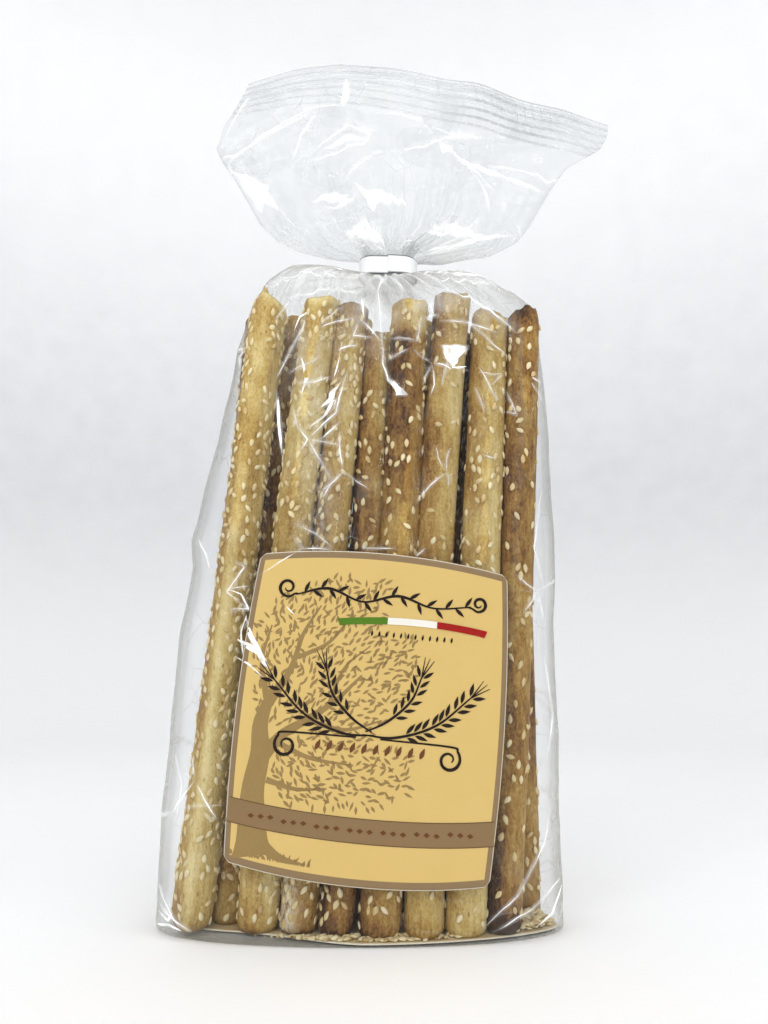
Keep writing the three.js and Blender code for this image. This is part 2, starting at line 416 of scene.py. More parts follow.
# x of foot, knee and head, height of the head, y of foot and head, radius, toasting,
# seeds on each square centimetre, kind of head
FRONT_ROW = [
    (-55.0, -40.7, -33.6, 229.8, -4.6, -7.4, 7.2, 0.47, 3.3, "point"),
    (-32.6, -21.8, -14.1, 223.8, -4.8, -8.2, 7.0, 0.30, 2.9, "hollow"),
    (-19.2, -8.0, -2.8, 222.0, -6.4, -6.6, 6.5, 0.47, 2.2, "rough"),
    (-6.6, 4.3, 6.3, 209.5, -8.6, -4.4, 6.2, 0.69, 1.5, "split"),
    (7.8, 15.9, 19.3, 223.0, -10.5, -8.2, 6.9, 0.78, 1.8, "rough"),
    (22.2, 29.2, 35.8, 226.5, -10.6, -7.2, 6.7, 0.50, 0.5, "rough"),
    (35.8, 45.6, 49.6, 218.8, -9.0, -7.4, 6.8, 0.47, 1.5, "rough"),
    (48.4, 58.8, 62.8, 225.0, -6.4, -5.8, 6.3, 0.75, 1.1, "comb"),
]
BACK_ROW = [
    (-54.0, -44.0, -39.5, 224.0, 9.6, 7.4, 6.2, 0.60, 1.6, "rough"),
    (-43.9, -33.2, -26.8, 221.5, 3.3, 6.6, 6.3, 0.62, 1.8, "split"),
    (-30.6, -21.5, -14.8, 219.0, 9.3, 7.9, 6.5, 0.45, 1.8, "rough"),
    (-17.6, -8.4, -1.2, 223.0, 8.0, 7.6, 6.5, 0.55, 1.4, "rough"),
    (-4.6, 4.9, 12.0, 218.0, 7.6, 8.4, 6.5, 0.40, 1.6, "split"),
    (8.6, 18.2, 25.6, 222.0, 6.4, 7.8, 6.5, 0.50, 1.4, "rough"),
    (21.9, 31.4, 38.4, 217.0, 6.6, 7.5, 6.4, 0.62, 1.2, "rough"),
    (35.0, 44.0, 50.4, 221.0, 7.6, 8.0, 6.4, 0.35, 1.7, "rough"),
    (58.0, 58.6, 58.0, 218.5, 9.8, 7.4, 6.2, 0.62, 1.5, "rough"),
]


def apart(angle, other):
    """The turn from one angle to another, from half a turn back to half a turn on."""
    return np.angle(np.exp(1j * (angle - other)))


class Stick:
    """One breadstick: where its surface is at any angle and any height."""

    def __init__(self, row, seed):
        (self.foot, self.knee, self.head, self.top, self.foot_y, self.head_y,
         self.radius, self.toast, self.seeds, self.kind) = row
        self.seed = seed
        chance = np.random.default_rng(seed)
        self.face, self.twist = chance.uniform(0, math.tau), chance.normal(0, 0.7)
        self.squash = chance.uniform(0.02, 0.055)
        self.bow = chance.normal(0, 0.5)
        self.darker_side = math.pi + chance.normal(0, 0.5)
        self.painted_shade = 0.0  # painted shade: how much darker the row behind is below its heads
        self.pale_foot, self.pale_head = 0.0, 0.0
        self.ridge_angle = None
        self.flour_angle = None

    def axis(self, z):
        """The stick's centre at height z: one smooth bend through foot, knee and head."""
        a, b, c = SOLE, KNEE, self.top
        x = (self.foot * (z - b) * (z - c) / ((a - b) * (a - c))
             + self.knee * (z - a) * (z - c) / ((b - a) * (b - c))
             + self.head * (z - a) * (z - b) / ((c - a) * (c - b)))
        share = np.clip((z - a) / (c - a), 0, 1)
        return x, mix(self.foot_y, self.head_y, share**0.7) + self.bow * np.sin(share * math.pi)

    def crest(self, angle):
        """Height of the broken rim at each angle."""
        rough = lumps(np.cos(angle) * 9, np.sin(angle) * 9, 9.0, self.seed + 50, 5)
        if self.kind == "point":
            lean = 0.5 - 0.5 * np.cos(angle - math.pi)
            return self.top - 9.0 * lean**0.75 + 0.6 * rough
        if self.kind == "comb":
            lean = 4.2 * (0.5 + 0.5 * np.cos(2 * angle - 0.4)) + 1.2 - 1.2 * np.sin(angle)
            spikes = lumps(angle * 9, 0 * angle, 8.0, self.seed + 51, 2, folded=True)
            return self.top - lean - 1.2 + 2.0 * spikes + 0.6 * rough
        if self.kind == "split":
            return self.top - 2.4 * (0.5 + 0.5 * np.cos(angle * 2 + self.face)) + 0.8 * rough
        return self.top - 1.2 + rough - 1.4 * (0.5 + 0.5 * np.cos(angle - self.face))

    def ridge(self, angle):
        """1 along the bare raised seam that some sticks have, and 0 away from it."""
        if self.ridge_angle is None:
            return np.zeros_like(angle)
        return np.exp(-((apart(angle, self.ridge_angle) / 0.27) ** 4))

    def spread(self, angle, z):
        """Distance of the wall from the axis."""
        turn = angle + self.face + self.twist * z / 200
        form = 1 + self.squash * np.cos(2 * turn) + 0.018 * np.cos(3 * turn + 1)
        round_x, round_y = np.cos(angle) * self.radius, np.sin(angle) * self.radius
        form = form + 0.035 * lumps(round_x + z * 0.25, round_y + z * 0.31, 34.0, self.seed)
        form = form + 0.012 * lumps(round_x * 1.6 + z * 0.9, round_y * 1.6 - z * 0.5, 7.0, self.seed + 9)
        return self.radius * form * 0.985 + 0.55 * self.ridge(angle)

    def wall(self, angle, z):
        x, y = self.axis(z)
        reach = self.spread(angle, z) * self.foot_share(z)
        if self.kind == "point":  # the head narrows to a tip above its left wall
            narrow = ease(z, self.top - 13, self.top + 1)
            x = x - 0.3 * narrow
            reach = reach * (1 - 0.6 * narrow)
        if self.kind == "comb":
            reach = reach * (1 - 0.2 * ease(z, self.top - 12, self.top))
        return np.stack([x + reach * np.cos(angle), y + reach * np.sin(angle), z], -1)

    def foot_share(self, z):
        """How the foot rounds in: a short square-cornered end, or a longer taper."""
        long, least = (10.0, 0.6) if self.ridge_angle is not None else (1.8, 0.84)
        near = np.clip((z - SOLE) / long, 0, 1)
        return least + (1 - least) * (1 - (1 - near) ** 2.6) ** 0.5

    def scorch(self, angle, z):
        """The burnt foot and the dark patches of the stick at the right end of the row."""
        if self.kind != "comb":
            return 0
        patch = np.exp(-(((z - 32) / 12) ** 2) - (apart(angle, -1.9) / 0.7) ** 2)
        return 0.12 * patch + 0.4 * np.exp(-(z - SOLE) / 7) + 0.3 * np.exp(-(self.top - z) / 7)

    def baked_and_shaded(self, angle, z):
        """How brown the crust is, from 0 for raw dough to 1 for burnt; the back row adds painted shade."""
        # one side of each stick, mostly its left, is coloured darker
        side = 0.5 + 0.5 * np.cos(angle - self.darker_side)
        round_x, round_y = np.cos(angle) * self.radius, np.sin(angle) * self.radius
        cloud = lumps(round_x + z * 0.1, round_y, 16.0, self.seed + 3)
        band = lumps(z, angle * 3, 38.0, self.seed + 4, 3) * (0.4 if self.kind == "comb" else 1.0)
        ends = 0.30 * np.exp(-(z - SOLE) / 5.0) + 0.12 * np.exp(-(self.top - z) / 8.0)
        brown_and_shade = self.toast + 0.26 * (side - 0.5) + 0.20 * cloud + 0.15 * band + ends
        # painted shade on the row behind, growing below its heads
        brown_and_shade = brown_and_shade + self.painted_shade * (1 - np.exp(-(self.top - z) / 22.0))
        brown_and_shade = brown_and_shade - self.pale_foot * np.exp(-(z - SOLE) / 30.0)
        brown_and_shade = brown_and_shade - self.pale_head * ease(z, self.top - 17, self.top - 11)
        brown_and_shade = brown_and_shade - 0.3 * self.ridge(angle) * mix(1, 0.3, ease(z, 105, 180))
        if self.kind in ("point", "hollow"):  # the broken edge shows the pale inside
            brown_and_shade = brown_and_shade - 0.4 * np.exp(-(((self.crest(angle) - z) / 2.6) ** 2)) * (np.cos(angle) > -0.6)
        return brown_and_shade + self.scorch(angle, z)


sticks = [Stick(row, 11 + 7 * i) for i, row in enumerate(FRONT_ROW + BACK_ROW)]
# the row behind gets painted shade below its heads, all but its last stick
for stick in sticks[len(FRONT_ROW):]:
    stick.painted_shade = 0.3 if stick.foot < 55 else 0.0
sticks[0].ridge_angle = -1.66
sticks[0].darker_side = 2.9
sticks[2].flour_angle = -2.3
sticks[6].pale_foot, sticks[-1].pale_foot, sticks[9].pale_foot = 0.32, 0.1, 0.5
sticks[4].pale_head = 0.42
print(len(sticks), "breadsticks, mean thickness", round(2 * np.mean([s.radius for s in sticks]), 1), "mm")

# %% [markdown]
# Crust is drawn in three layers: the bake, stored on the mesh, which goes through a ramp of dough,
# gold and brown, and which on the row behind also holds a painted shade below the heads; long faint
# streaks, where the dough was stretched; and small dark pits. The streaks and pits are textures
# squeezed along the stick. A thin dusting of flour whitens some patches. The same layers push a
# Bump, so that the light picks up what the colour shows.

# %% The crust's finish
def crust_finish(name):
    crust = Finish(name)
    along = (1, 1, 0.14)
    streaks = crust.noise(1.5, along, 4.0, 0.65)
    patches = crust.noise(3.4, (1, 1, 0.4), 3.0, 0.6)
    blotch = crust.noise(7.0, (1, 1, 0.5))
    grain = crust.noise(0.55, (1, 1, 0.6), 3.0, 0.6)
    pits = crust.cells(2.3, (1, 1, 0.45)).step(0.2, 0.07) * crust.noise(5.0).step(0.46, 0.58)
    dashes = crust.cells(1.1, (1, 1, 0.3)).step(0.22, 0.08) * crust.noise(4.0, (1, 1, 0.5)).step(0.44, 0.6)
    pits = pits.largest(dashes * 0.8)
    mottle = crust.noise(1.2, (1, 1, 0.65), 3.0, 0.6)
    uneven = 0.38 * (blotch - 0.5) + 0.55 * (patches - 0.5) + 0.4 * (streaks - 0.5)
    uneven = uneven + 0.45 * (mottle - 0.5) + 0.5 * (grain - 0.5)
    brown_and_shade = crust.value("bake") + uneven
    tones = crust.node("ShaderNodeValToRGB", {"stops": [
        (0.0, paint(230, 212, 156)), (0.22, paint(214, 191, 128)), (0.45, paint(190, 159, 90)),
        (0.68, paint(156, 117, 54)), (0.88, paint(112, 74, 32)), (1.0, paint(58, 34, 16))]},
        {"Fac": brown_and_shade})
    pitted = crust.blend(pits * 0.5, tones, paint(120, 76, 34))
    flour = crust.value("flour") * crust.noise(2.4, (1, 1, 0.5), 4.0, 0.7).step(0.34, 0.6)
    colour = crust.blend(flour * 0.8, pitted, paint(233, 224, 196))
    height = streaks * 0.4 + grain * 0.45 + mottle * 0.35 + blotch * 0.4 - pits * 0.35
    shader = crust.node("ShaderNodeBsdfPrincipled", {}, {
        "Base Color": colour, "Roughness": 0.5 + 0.25 * streaks, "Normal": crust.bump(height, 0.7),
        "Specular IOR Level": 0.35})
    return crust.close(shader)


crust_material = crust_finish("baked_crust")
print("crust:", len(crust_material.node_tree.nodes), "nodes")

# %% Build the breadsticks
ROUND, UP = 40, 130  # points round a stick, and rows up its wall
CRATER_DEPTH = {"point": 0.4, "comb": 5.0, "hollow": 6.0}
CRATER_BAKE = {"comb": 0.85, "hollow": 0.12, "point": 0.3}


def build_stick(stick, name):
    """Wall, then the sole below and the broken head above, as one closed skin."""
    angle = full_turn(ROUND)
    rows, bake_and_shade_rows, flours = [], [], []
    rim = stick.crest(angle)

    def add(points, bake, flour=0.0):
        rows.append(points)
        bake_and_shade_rows.append(np.broadcast_to(bake, angle.shape))
        flours.append(np.broadcast_to(flour, angle.shape))

    x, y = stick.axis(SOLE)
    for share in (0.08, 0.45, 0.85):
        low = np.full(ROUND, SOLE)
        skin = stick.wall(angle, low)
        middle_point = np.array([x, y, SOLE + 0.5 * (1 - share)])
        add(mix(middle_point, skin, share), stick.baked_and_shaded(angle, low) + 0.05)
    for t in np.linspace(0, 1, UP).tolist():
        z = mix(SOLE, rim, t)
        flour = 0.12 * ease(lumps(z, angle * 6, 20.0, stick.seed + 20), 0.3, 0.9)
        if stick.flour_angle is not None:
            dusted = np.exp(-((apart(angle, stick.flour_angle) / 0.6) ** 2))
            flour = flour + dusted * (0.4 + ease(-z, -70, -20))
        add(stick.wall(angle, z), stick.baked_and_shaded(angle, z), flour)
    rim_points = rows[-1]
    hub_z = rim.mean() - CRATER_DEPTH.get(stick.kind, 1.8)
    hub = np.array([*stick.axis(hub_z), hub_z])
    for share in (0.1, 0.28, 0.5, 0.75, 0.92):
        inner = mix(rim_points, hub, share)
        jag = lumps(inner[:, 0], inner[:, 1] + share * 9, 4.0, stick.seed + 60, 4)
        sunk = min(1, share * 1.6) if stick.kind != "point" else share**1.5
        inner[:, 2] = mix(rim_points[:, 2], hub_z, sunk) + jag * 0.8
        inner[:, 2] -= 0.6 * (share == 0.1)
        add(inner, CRATER_BAKE.get(stick.kind, 0.16 + 0.25 * stick.toast) + 0.15 * jag)
    points = np.concatenate(rows)
    faces = grid_faces(len(rows), ROUND, closed=True)
    faces.append(list(range(ROUND))[::-1])
    faces.append(list(range(len(points) - ROUND, len(points))))
    return make_piece(name, points, faces, [crust_material],
                      {"bake": np.concatenate(bake_and_shade_rows), "flour": np.concatenate(flours)}, slot="baked_crust")


for number, stick in enumerate(sticks, 1):
    build_stick(stick, f"breadstick_{number:02d}")

# %% [markdown]
# A sesame seed is a flat teardrop 3 mm long. Hundreds lie on the crust, mostly along the stick, some
# half sunk, some in clusters, with bare stretches between. They could be instances of one seed, but
# the export needs real mesh, so each is placed in code and the seeds of a row are joined in one
# piece: a small class gathers their points and faces until they are all there. A stored tone makes
# each a little lighter or browner than the next.

# %% One seed
class Gathering:
    """Many small shapes that become one piece, with a number for each of their points or faces."""

    def __init__(self):
        self.points, self.faces, self.numbers = [], [], []

    def add(self, points, faces, numbers):
        start = len(self.points)
        self.points.extend(points)
        self.faces.extend([start + n for n in face] for face in faces)
        self.numbers.extend(numbers)


SEED = {"long": 3.35, "wide": 2.0, "thick": 1.0}


def seed_shape(slices=8, rings=6):
    """Points and faces of a teardrop that lies along X, flat in Z."""
    points = [[-0.5, 0, 0]]
    for k in range(1, rings):
        t = k / rings
        reach = math.sin(math.pi * t) ** 0.75 * (1.12 - 0.45 * t) * 0.5
        for i in range(slices):
            a = math.tau * i / slices
            points.append([t - 0.5, reach * math.cos(a), reach * math.sin(a)])
    points.append([0.5, 0, 0])
    size = np.array([SEED["long"], SEED["wide"], SEED["thick"]])
    faces = [[0, 1 + (i + 1) % slices, 1 + i] for i in range(slices)]
    faces += [[1 + n for n in face] for face in grid_faces(rings - 1, slices, closed=True)]
    last_ring = 1 + (rings - 2) * slices
    faces += [[len(points) - 1, last_ring + i, last_ring + (i + 1) % slices] for i in range(slices)]
    return np.array(points) * size, faces


SEED_POINTS, SEED_FACES = seed_shape()
print("one seed:", len(SEED_FACES), "faces")

# %% Place seeds on a stick
ROOM = {"across": 1.9, "along": 2.8}  # the least distances between the middles of two seeds


def crowded(stick, turn, rise):
    """Whether two seeds that are a turn and a rise apart would touch."""
    off = math.remainder(turn, math.tau) * stick.radius
    return math.hypot(off / ROOM["across"], rise / ROOM["along"]) < 1


def scatter(stick, chance):
    """Angles and heights of a stick's seeds: never two on one spot, and fewer on bare stretches."""
    wanted = int(1.35 * stick.seeds * (stick.top - SOLE) * math.tau * stick.radius / 100)
    kept = []
    for _ in range(wanted * 14):
        if len(kept) >= wanted:
            break
        angle, z = chance.uniform(0, math.tau), chance.uniform(SOLE + 2.5, stick.top - 4)
        here = lumps(np.array(z), np.array(angle * stick.radius), 17.0, stick.seed + 30, 3)
        bare = float(stick.ridge(np.array([angle]))[0])
        seen = 0.72 - 0.28 * math.sin(angle)
        if chance.uniform() > (0.6 + 0.5 * float(here)) * (1 - 1.1 * bare) * seen:
            continue
        if z > float(stick.crest(np.array([angle]))[0]) - 2.5:
            continue
        if not any(crowded(stick, angle - other_angle, z - other_z) for other_angle, other_z in kept):
            kept.append((angle, z))
    return kept


def seat(stick, angle, z, turn, sink):
    """Where a seed sits: its centre, and its long, wide and thick directions."""
    step = 0.05
    here, beside, above = stick.wall(np.array([angle, angle + step, angle]), np.array([z, z, z + 1.0]))
    side, rise = beside - here, above - here
    side, rise = side / np.linalg.norm(side), rise / np.linalg.norm(rise)
    out = np.cross(side, rise)
    long = rise * math.cos(turn) + side * math.sin(turn)
    wide = np.cross(out, long)
    return here + out * sink, long, wide, out


def seed_row(row, seed, name):
    chance = np.random.default_rng(seed)
    seeds = Gathering()
    for stick in row:
        for angle, z in scatter(stick, chance):
            turn = chance.normal(0, 0.55) + (math.pi if chance.uniform() < 0.5 else 0)
            centre, long, wide, out = seat(stick, angle, z, turn, chance.uniform(0.02, 0.3))
            tip = chance.normal(0, 0.1)
            shape = SEED_POINTS * chance.uniform([0.88, 0.85, 0.8], [1.12, 1.1, 1.15])
            laid = centre + shape @ np.stack([long + tip * out, wide, out])
            seeds.add(laid, SEED_FACES, np.full(len(laid), chance.uniform()))
    print(name, len(seeds.faces) // len(SEED_FACES), "seeds")
    return make_piece(name, seeds.points, seeds.faces, [seed_material], {"tone": seeds.numbers},
                      slot="sesame")


# %% The seeds' finish, and both rows
def seed_finish():
    seed = Finish("toasted_sesame")
    spots = seed.noise(1.1)
    tone = seed.value("tone") * 0.75 + spots * 0.35
    colour = seed.node("ShaderNodeValToRGB", {"stops": [
        (0.0, paint(240, 229, 192)), (0.5, paint(230, 212, 164)), (0.85, paint(212, 186, 130)),
        (1.0, paint(184, 146, 90))]}, {"Fac": tone})
    shader = seed.node("ShaderNodeBsdfPrincipled", {}, {
        "Base Color": colour, "Roughness": 0.36 + 0.2 * spots, "Normal": seed.bump(spots, 0.12)})
    return seed.close(shader)


seed_material = seed_finish()
seed_row(sticks[:len(FRONT_ROW)], 101, "sesame_front_row")
seed_row(sticks[len(FRONT_ROW):], 202, "sesame_back_row")

# %% [markdown]
# Seeds and crumbs that came off the sticks gather on the card, most of them at its right end, where
# the leaning sticks leave room. The seeds are the same teardrop, laid flat and a few on edge. A crumb
# is a small ball with its points pushed in and out.

# %% Loose seeds and crumbs
DRIFT_SHARE = 0.62  # how much of what lies loose is in the drift


def free_spots(count, chance):
    """Places on the card: a drift at the right end, and a thin scatter along the front."""
    spots = []
    while len(spots) < count:
        if chance.uniform() < DRIFT_SHARE:
            x, y = 62 - abs(chance.normal(0, 6)) + chance.uniform(-2, 7), chance.uniform(-14, 14)
        else:
            x, y = chance.uniform(-50, 56), -15.8 - chance.normal(0, 1.5)
        share = oval_share(np.clip((x - CARD["x"]) / (CARD["half_width"] - 2.5), -1, 1), CARD["square"])
        if abs(y) > (CARD["half_depth"] - 1.5) * float(share):
            continue
        spots.append((x, y))
    return spots


def heap(x, height, chance):
    """How far up in the drift something lies."""
    return height * chance.uniform() * ease(x, 48, 56) * (1 - 0.6 * ease(x, 62, 69))


chance = np.random.default_rng(5)
loose = Gathering()
for x, y in free_spots(250, chance):
    turn, roll = chance.uniform(0, math.tau), chance.normal(0, 0.5)
    long = np.array([math.cos(turn), math.sin(turn), 0.08 * chance.normal()])
    flat = np.array([-math.sin(turn), math.cos(turn), 0])
    wide = flat * math.cos(roll) + np.array([0, 0, math.sin(roll)])
    out = np.cross(long, wide)
    lift = CARD["high"] + 0.45 + 0.5 * abs(math.sin(roll)) + heap(x, 2.4, chance)
    laid = np.array([x, y, lift]) + SEED_POINTS * chance.uniform(0.85, 1.1) @ np.stack([long, wide, out])
    loose.add(laid, SEED_FACES, np.full(len(laid), chance.uniform()))
make_piece("sesame_loose", loose.points, loose.faces, [seed_material], {"tone": loose.numbers},
           slot="sesame")

crumbs = Gathering()
ball = SEED_POINTS / np.array([SEED["long"], SEED["wide"], SEED["thick"]])
for x, y in free_spots(620, chance):
    size = 0.5 + 1.3 * chance.uniform() ** 3
    shape = ball * chance.uniform(0.6, 1.2, (len(ball), 1)) * np.array([size, size * 0.8, size * 0.7])
    turn = chance.uniform(0, math.tau)
    spin = np.array([[math.cos(turn), math.sin(turn), 0], [-math.sin(turn), math.cos(turn), 0], [0, 0, 1]])
    laid = shape @ spin + np.array([x, y, CARD["high"] + size * 0.3 + heap(x, 1.8, chance)])
    crumbs.add(laid, SEED_FACES, np.full(len(laid), chance.uniform(0.0, 0.75)))
make_piece("crumbs", crumbs.points, crumbs.faces, [crust_material],
           {"bake": crumbs.numbers, "flour": np.zeros(len(crumbs.numbers))}, slot="baked_crust")

# %% [markdown]
# The film is one thin tube: it is glued flat under the base, hugs the sticks, gathers under the
# band and opens again to the sealed top. A cloth simulation could drape it, but film doesn't drape,
# it creases: flat facets meet in sharp lines that catch the light. So the tube is lofted through
# rings of the bag's outline, and dips, pleats and creases are added by formula. Each crease is a
# line drawn on the bag's face. Points near it are pushed out like the ridge of a tent, and the value
# "crest" marks it, so that the finish can whiten it: partly as strained film whitens, partly as a
# painted highlight of the lamps on the crease.

# %% The bag's outline
STICK_PITCH = 13.6
LEAN = math.radians(4.6)
NECK = {"x": 10.9, "low": 236.0, "high": 244.6, "half_width": 10.4, "half_depth": 4.4}
# height, left, right, half depth, squareness
BODY = np.array([
    (0.1, -66.0, 68.2, 19.2, 2.1), (0.6, -67.2, 69.6, 20.0, 2.1), (1.8, -67.6, 70.0, 20.2, 2.15),
    (5.0, -67.4, 69.6, 20.0, 2.6), (12.0, -67.0, 69.2, 19.2, 3.5), (34.0, -66.4, 69.4, 17.6, 4.0),
    (66.0, -65.2, 69.6, 17.2, 4.0), (96.0, -63.2, 70.0, 16.8, 4.0), (122.0, -60.0, 70.9, 16.6, 4.0),
    (131.5, -60.8, 71.5, 16.4, 4.0), (141.0, -58.2, 71.3, 16.4, 4.0), (180.0, -50.9, 70.2, 16.2, 4.0),
    (205.0, -45.9, 69.2, 16.0, 3.9), (216.0, -43.9, 68.4, 15.6, 3.7), (223.0, -42.2, 66.4, 14.6, 3.3),
    (227.5, -40.6, 61.6, 13.0, 3.0), (231.5, -37.4, 54.0, 10.8, 2.7), (234.0, -30.0, 45.0, 8.6, 2.4),
    (235.3, -19.0, 35.0, 6.4, 2.2), (236.0, -4.0, 25.5, 5.0, 2.2),
])


def body_row(z):
    """Left, right, half depth and squareness of the bag at each height."""
    return [np.interp(z, BODY[:, 0], BODY[:, k]) for k in (1, 2, 3, 4)]


def film_front(x, z):
    """How far the bag's face stands in front of its middle plane, without its creases."""
    left, right, depth, square = body_row(z)
    s = (x - (left + right) / 2) / ((right - left) / 2)
    return depth * oval_share(np.clip(s, -1, 1), square)


print("bag outline:", len(BODY), "rows, up to", BODY[-1, 0], "mm")

# %% Creases drawn on the bag's face
# x and z of each line's points, in order, then its height; a star repeats its middle point
CREASES = [
    ([(-20, 214), (-21, 208), (-25, 200), (-31, 188)], 0.9), ([(-25, 222), (-33, 211)], 0.8),
    ([(-22, 188), (-16, 188), (-10, 190)], 1.2), ([(-25, 192), (-14, 198)], 0.8),
    ([(-24, 180), (-22, 172), (-18, 166.5), (-21, 162)], 0.9), ([(-18, 166.5), (-5, 164)], 0.8),
    ([(-18, 166.5), (-13, 171), (-8, 176), (-7, 182), (-4, 193)], 1.2), ([(-18, 166.5), (-9, 151)], 1.1),
    ([(-14, 178), (-8, 181), (-9, 177)], 1.0), ([(-8, 200), (-4, 202), (0, 202)], 0.9),
    ([(-15, 210), (-6, 218)], 0.7), ([(-15, 209.5), (-1, 214)], 0.7), ([(0, 213), (9, 203)], 1.0),
    ([(0, 212), (-2, 206), (6, 205)], 0.8), ([(9, 203), (9, 195), (11, 189), (18, 183)], 1.1),
    ([(13, 183), (18, 183)], 1.2), ([(10, 196), (19, 201)], 0.7), ([(12, 205), (21, 204)], 1.0),
    ([(23, 214), (22, 207), (21, 203)], 1.0), ([(26, 220), (28, 213)], 1.1), ([(24, 213), (30, 214)], 0.9),
    ([(1, 222), (2, 213)], 1.1), ([(7, 228), (8, 212), (9, 196)], 0.8),
    ([(-30, 185), (-28, 172), (-27, 160)], 1.3),
    ([(-24, 137), (-14, 132), (-8, 127)], 0.7), ([(-23, 132), (-19, 127), (-36, 116)], 0.9),
    ([(-19, 127), (-8, 127)], 0.8), ([(1, 128), (3, 127), (15, 127)], 0.7), ([(24, 127), (20, 124)], 0.7),
    ([(-57, 132), (-53, 125), (-52, 120)], 1.1), ([(-44, 123), (-39, 121), (-45, 112), (-41, 109)], 1.0),
    ([(-41, 109), (-37, 106), (-43, 106), (-41, 104)], 0.9), ([(-45, 113), (-37, 114)], 0.7),
    ([(38, 213), (44, 208), (55, 198)], 0.9), ([(42, 187), (46, 176)], 0.9), ([(28, 195), (34, 193)], 1.3),
    ([(33, 198), (30, 186)], 1.1), ([(53, 187), (57, 176), (53, 177)], 0.8),
    ([(40, 5), (52, 15), (62, 30), (66, 44)], 1.0), ([(44, 4), (56, 10), (68, 19)], 1.0),
    ([(-64, 10), (-58, 6), (-52, 3)], 1.0), ([(-66, 18), (-60, 9), (-56, 3)], 0.8),
    ([(-62, 60), (-58, 48), (-60, 34)], 0.7), ([(66, 150), (62, 128), (66, 110)], 0.7),
    ([(64, 96), (67, 70), (63, 52)], 0.7), ([(44, 194), (50.5, 182), (49, 182)], 0.9),
    ([(45, 161), (49, 159.5)], 0.8), ([(30, 226), (41, 221.5), (52, 214), (58.5, 208)], 1.3),
    ([(30, 212), (38, 212), (43, 210), (52, 208)], 1.0), ([(-37, 228), (-27, 234), (-14, 240)], 1.1),
    ([(-14, 240), (-8, 238), (0, 237)], 1.2), ([(-34, 230), (-21, 235), (-12, 234), (0, 231)], 1.1),
    ([(22, 235), (34, 235), (48, 235), (54, 233), (60, 228)], 1.4), ([(25, 232), (41, 230), (52, 231)], 1.1),
    ([(10, 234), (7, 225)], 1.0), ([(13, 234), (17, 224)], 0.9), ([(-30, 221), (-12, 226), (2, 224)], 0.8),
]
# the brightest facets: x and z along the middle, then the greatest width
FLARES = [
    ([(34, 193.5), (39.5, 194)], 1.0), ([(-21, 198), (-19, 190), (-21, 182)], 1.6),
    ([(-17, 171), (-12, 175), (-9, 181)], 2.2), ([(-9, 190), (-7, 197), (-6, 204)], 1.5),
    ([(-29, 183), (-28.5, 172), (-27.5, 163)], 1.6), ([(10, 189), (15, 185), (18, 183)], 1.8),
    ([(-24, 208), (-22, 214), (-15, 219)], 1.4), ([(-52, 281), (-42, 273), (-32, 261)], 4.5),
    ([(-46, 268), (-38, 270), (-32, 262)], 3.0), ([(-2, 270), (6, 266), (18, 264)], 5.0),
    ([(-18, 263), (-12, 265), (-4, 266)], 2.6), ([(-31, 250), (-15, 255), (1, 258)], 3.2),
    ([(-14, 285), (-4, 290), (3, 289)], 3.0), ([(42, 282), (58, 276), (72, 273)], 2.6),
    ([(-6, 322), (-6, 313), (-7, 306)], 5.0), ([(24, 246), (42, 250), (60, 254)], 2.2),
    ([(-12, 240), (0, 239)], 1.2), ([(24, 236), (48, 235), (54, 233)], 1.6),
    ([(-66, 3), (-61, 4.5), (-56, 3)], 2.2),
    ([(-65, 8), (-61, 5.5), (-59, 9)], 1.5), ([(58, 4), (64, 8), (68, 16)], 1.4),
    ([(-45, 113), (-40, 111), (-37, 106)], 1.2), ([(-38, 103), (-36, 97), (-33, 92), (-29.5, 86)], 3.2),
    ([(-41, 96), (-36, 93), (-31, 90)], 2.4), ([(-38, 104), (-39.5, 98), (-39, 91)], 1.8),
    ([(-41, 90), (-37, 88), (-31, 83)], 1.4), ([(-24, 107), (-21, 104)], 0.9),
]
# x and z of the corners of the few facets that flash as a whole, then how bright
FACETS = [
    ((28.0, 202.3), (41.5, 203.2), (34.5, 193.0), 1.3), ((-5.0, 190.5), (-8.5, 180.5), (-14.0, 178.0), 1.6),
    ((11.5, 189.0), (18.0, 183.0), (14.0, 182.5), 1.6), ((-21.5, 262.5), (-9.5, 268.0), (-1.5, 263.0), 1.2),
    ((-1.5, 269.0), (12.5, 268.0), (5.0, 261.0), 1.5), ((-38.5, 254.5), (-29.5, 248.5), (-17.0, 250.0), 1.3),
    ((20.0, 252.0), (35.0, 259.0), (50.0, 252.0), 1.0), ((-8.0, 252.0), (2.5, 259.0), (9.0, 248.5), 1.0),
    ((29.0, 291.5), (38.0, 289.0), (33.5, 285.5), 1.0),
    ((-50.0, 277.0), (-33.5, 271.0), (-38.5, 261.0), 1.2),
]


def distance_to_line(x, z, line):
    """Distance of each point from a chain of straight stretches, and how far along it, 0 to 1."""
    best, along = np.full(x.shape, 1e9), np.zeros(x.shape)
    steps = len(line) - 1
    for k in range(steps):
        (ax, az), (bx, bz) = line[k], line[k + 1]
        dx, dz = bx - ax, bz - az
        t = np.clip(((x - ax) * dx + (z - az) * dz) / (dx * dx + dz * dz), 0, 1)
        off = np.hypot(x - ax - t * dx, z - az - t * dz)
        nearer = off < best
        best, along = np.where(nearer, off, best), np.where(nearer, (k + t) / steps, along)
    return best, along


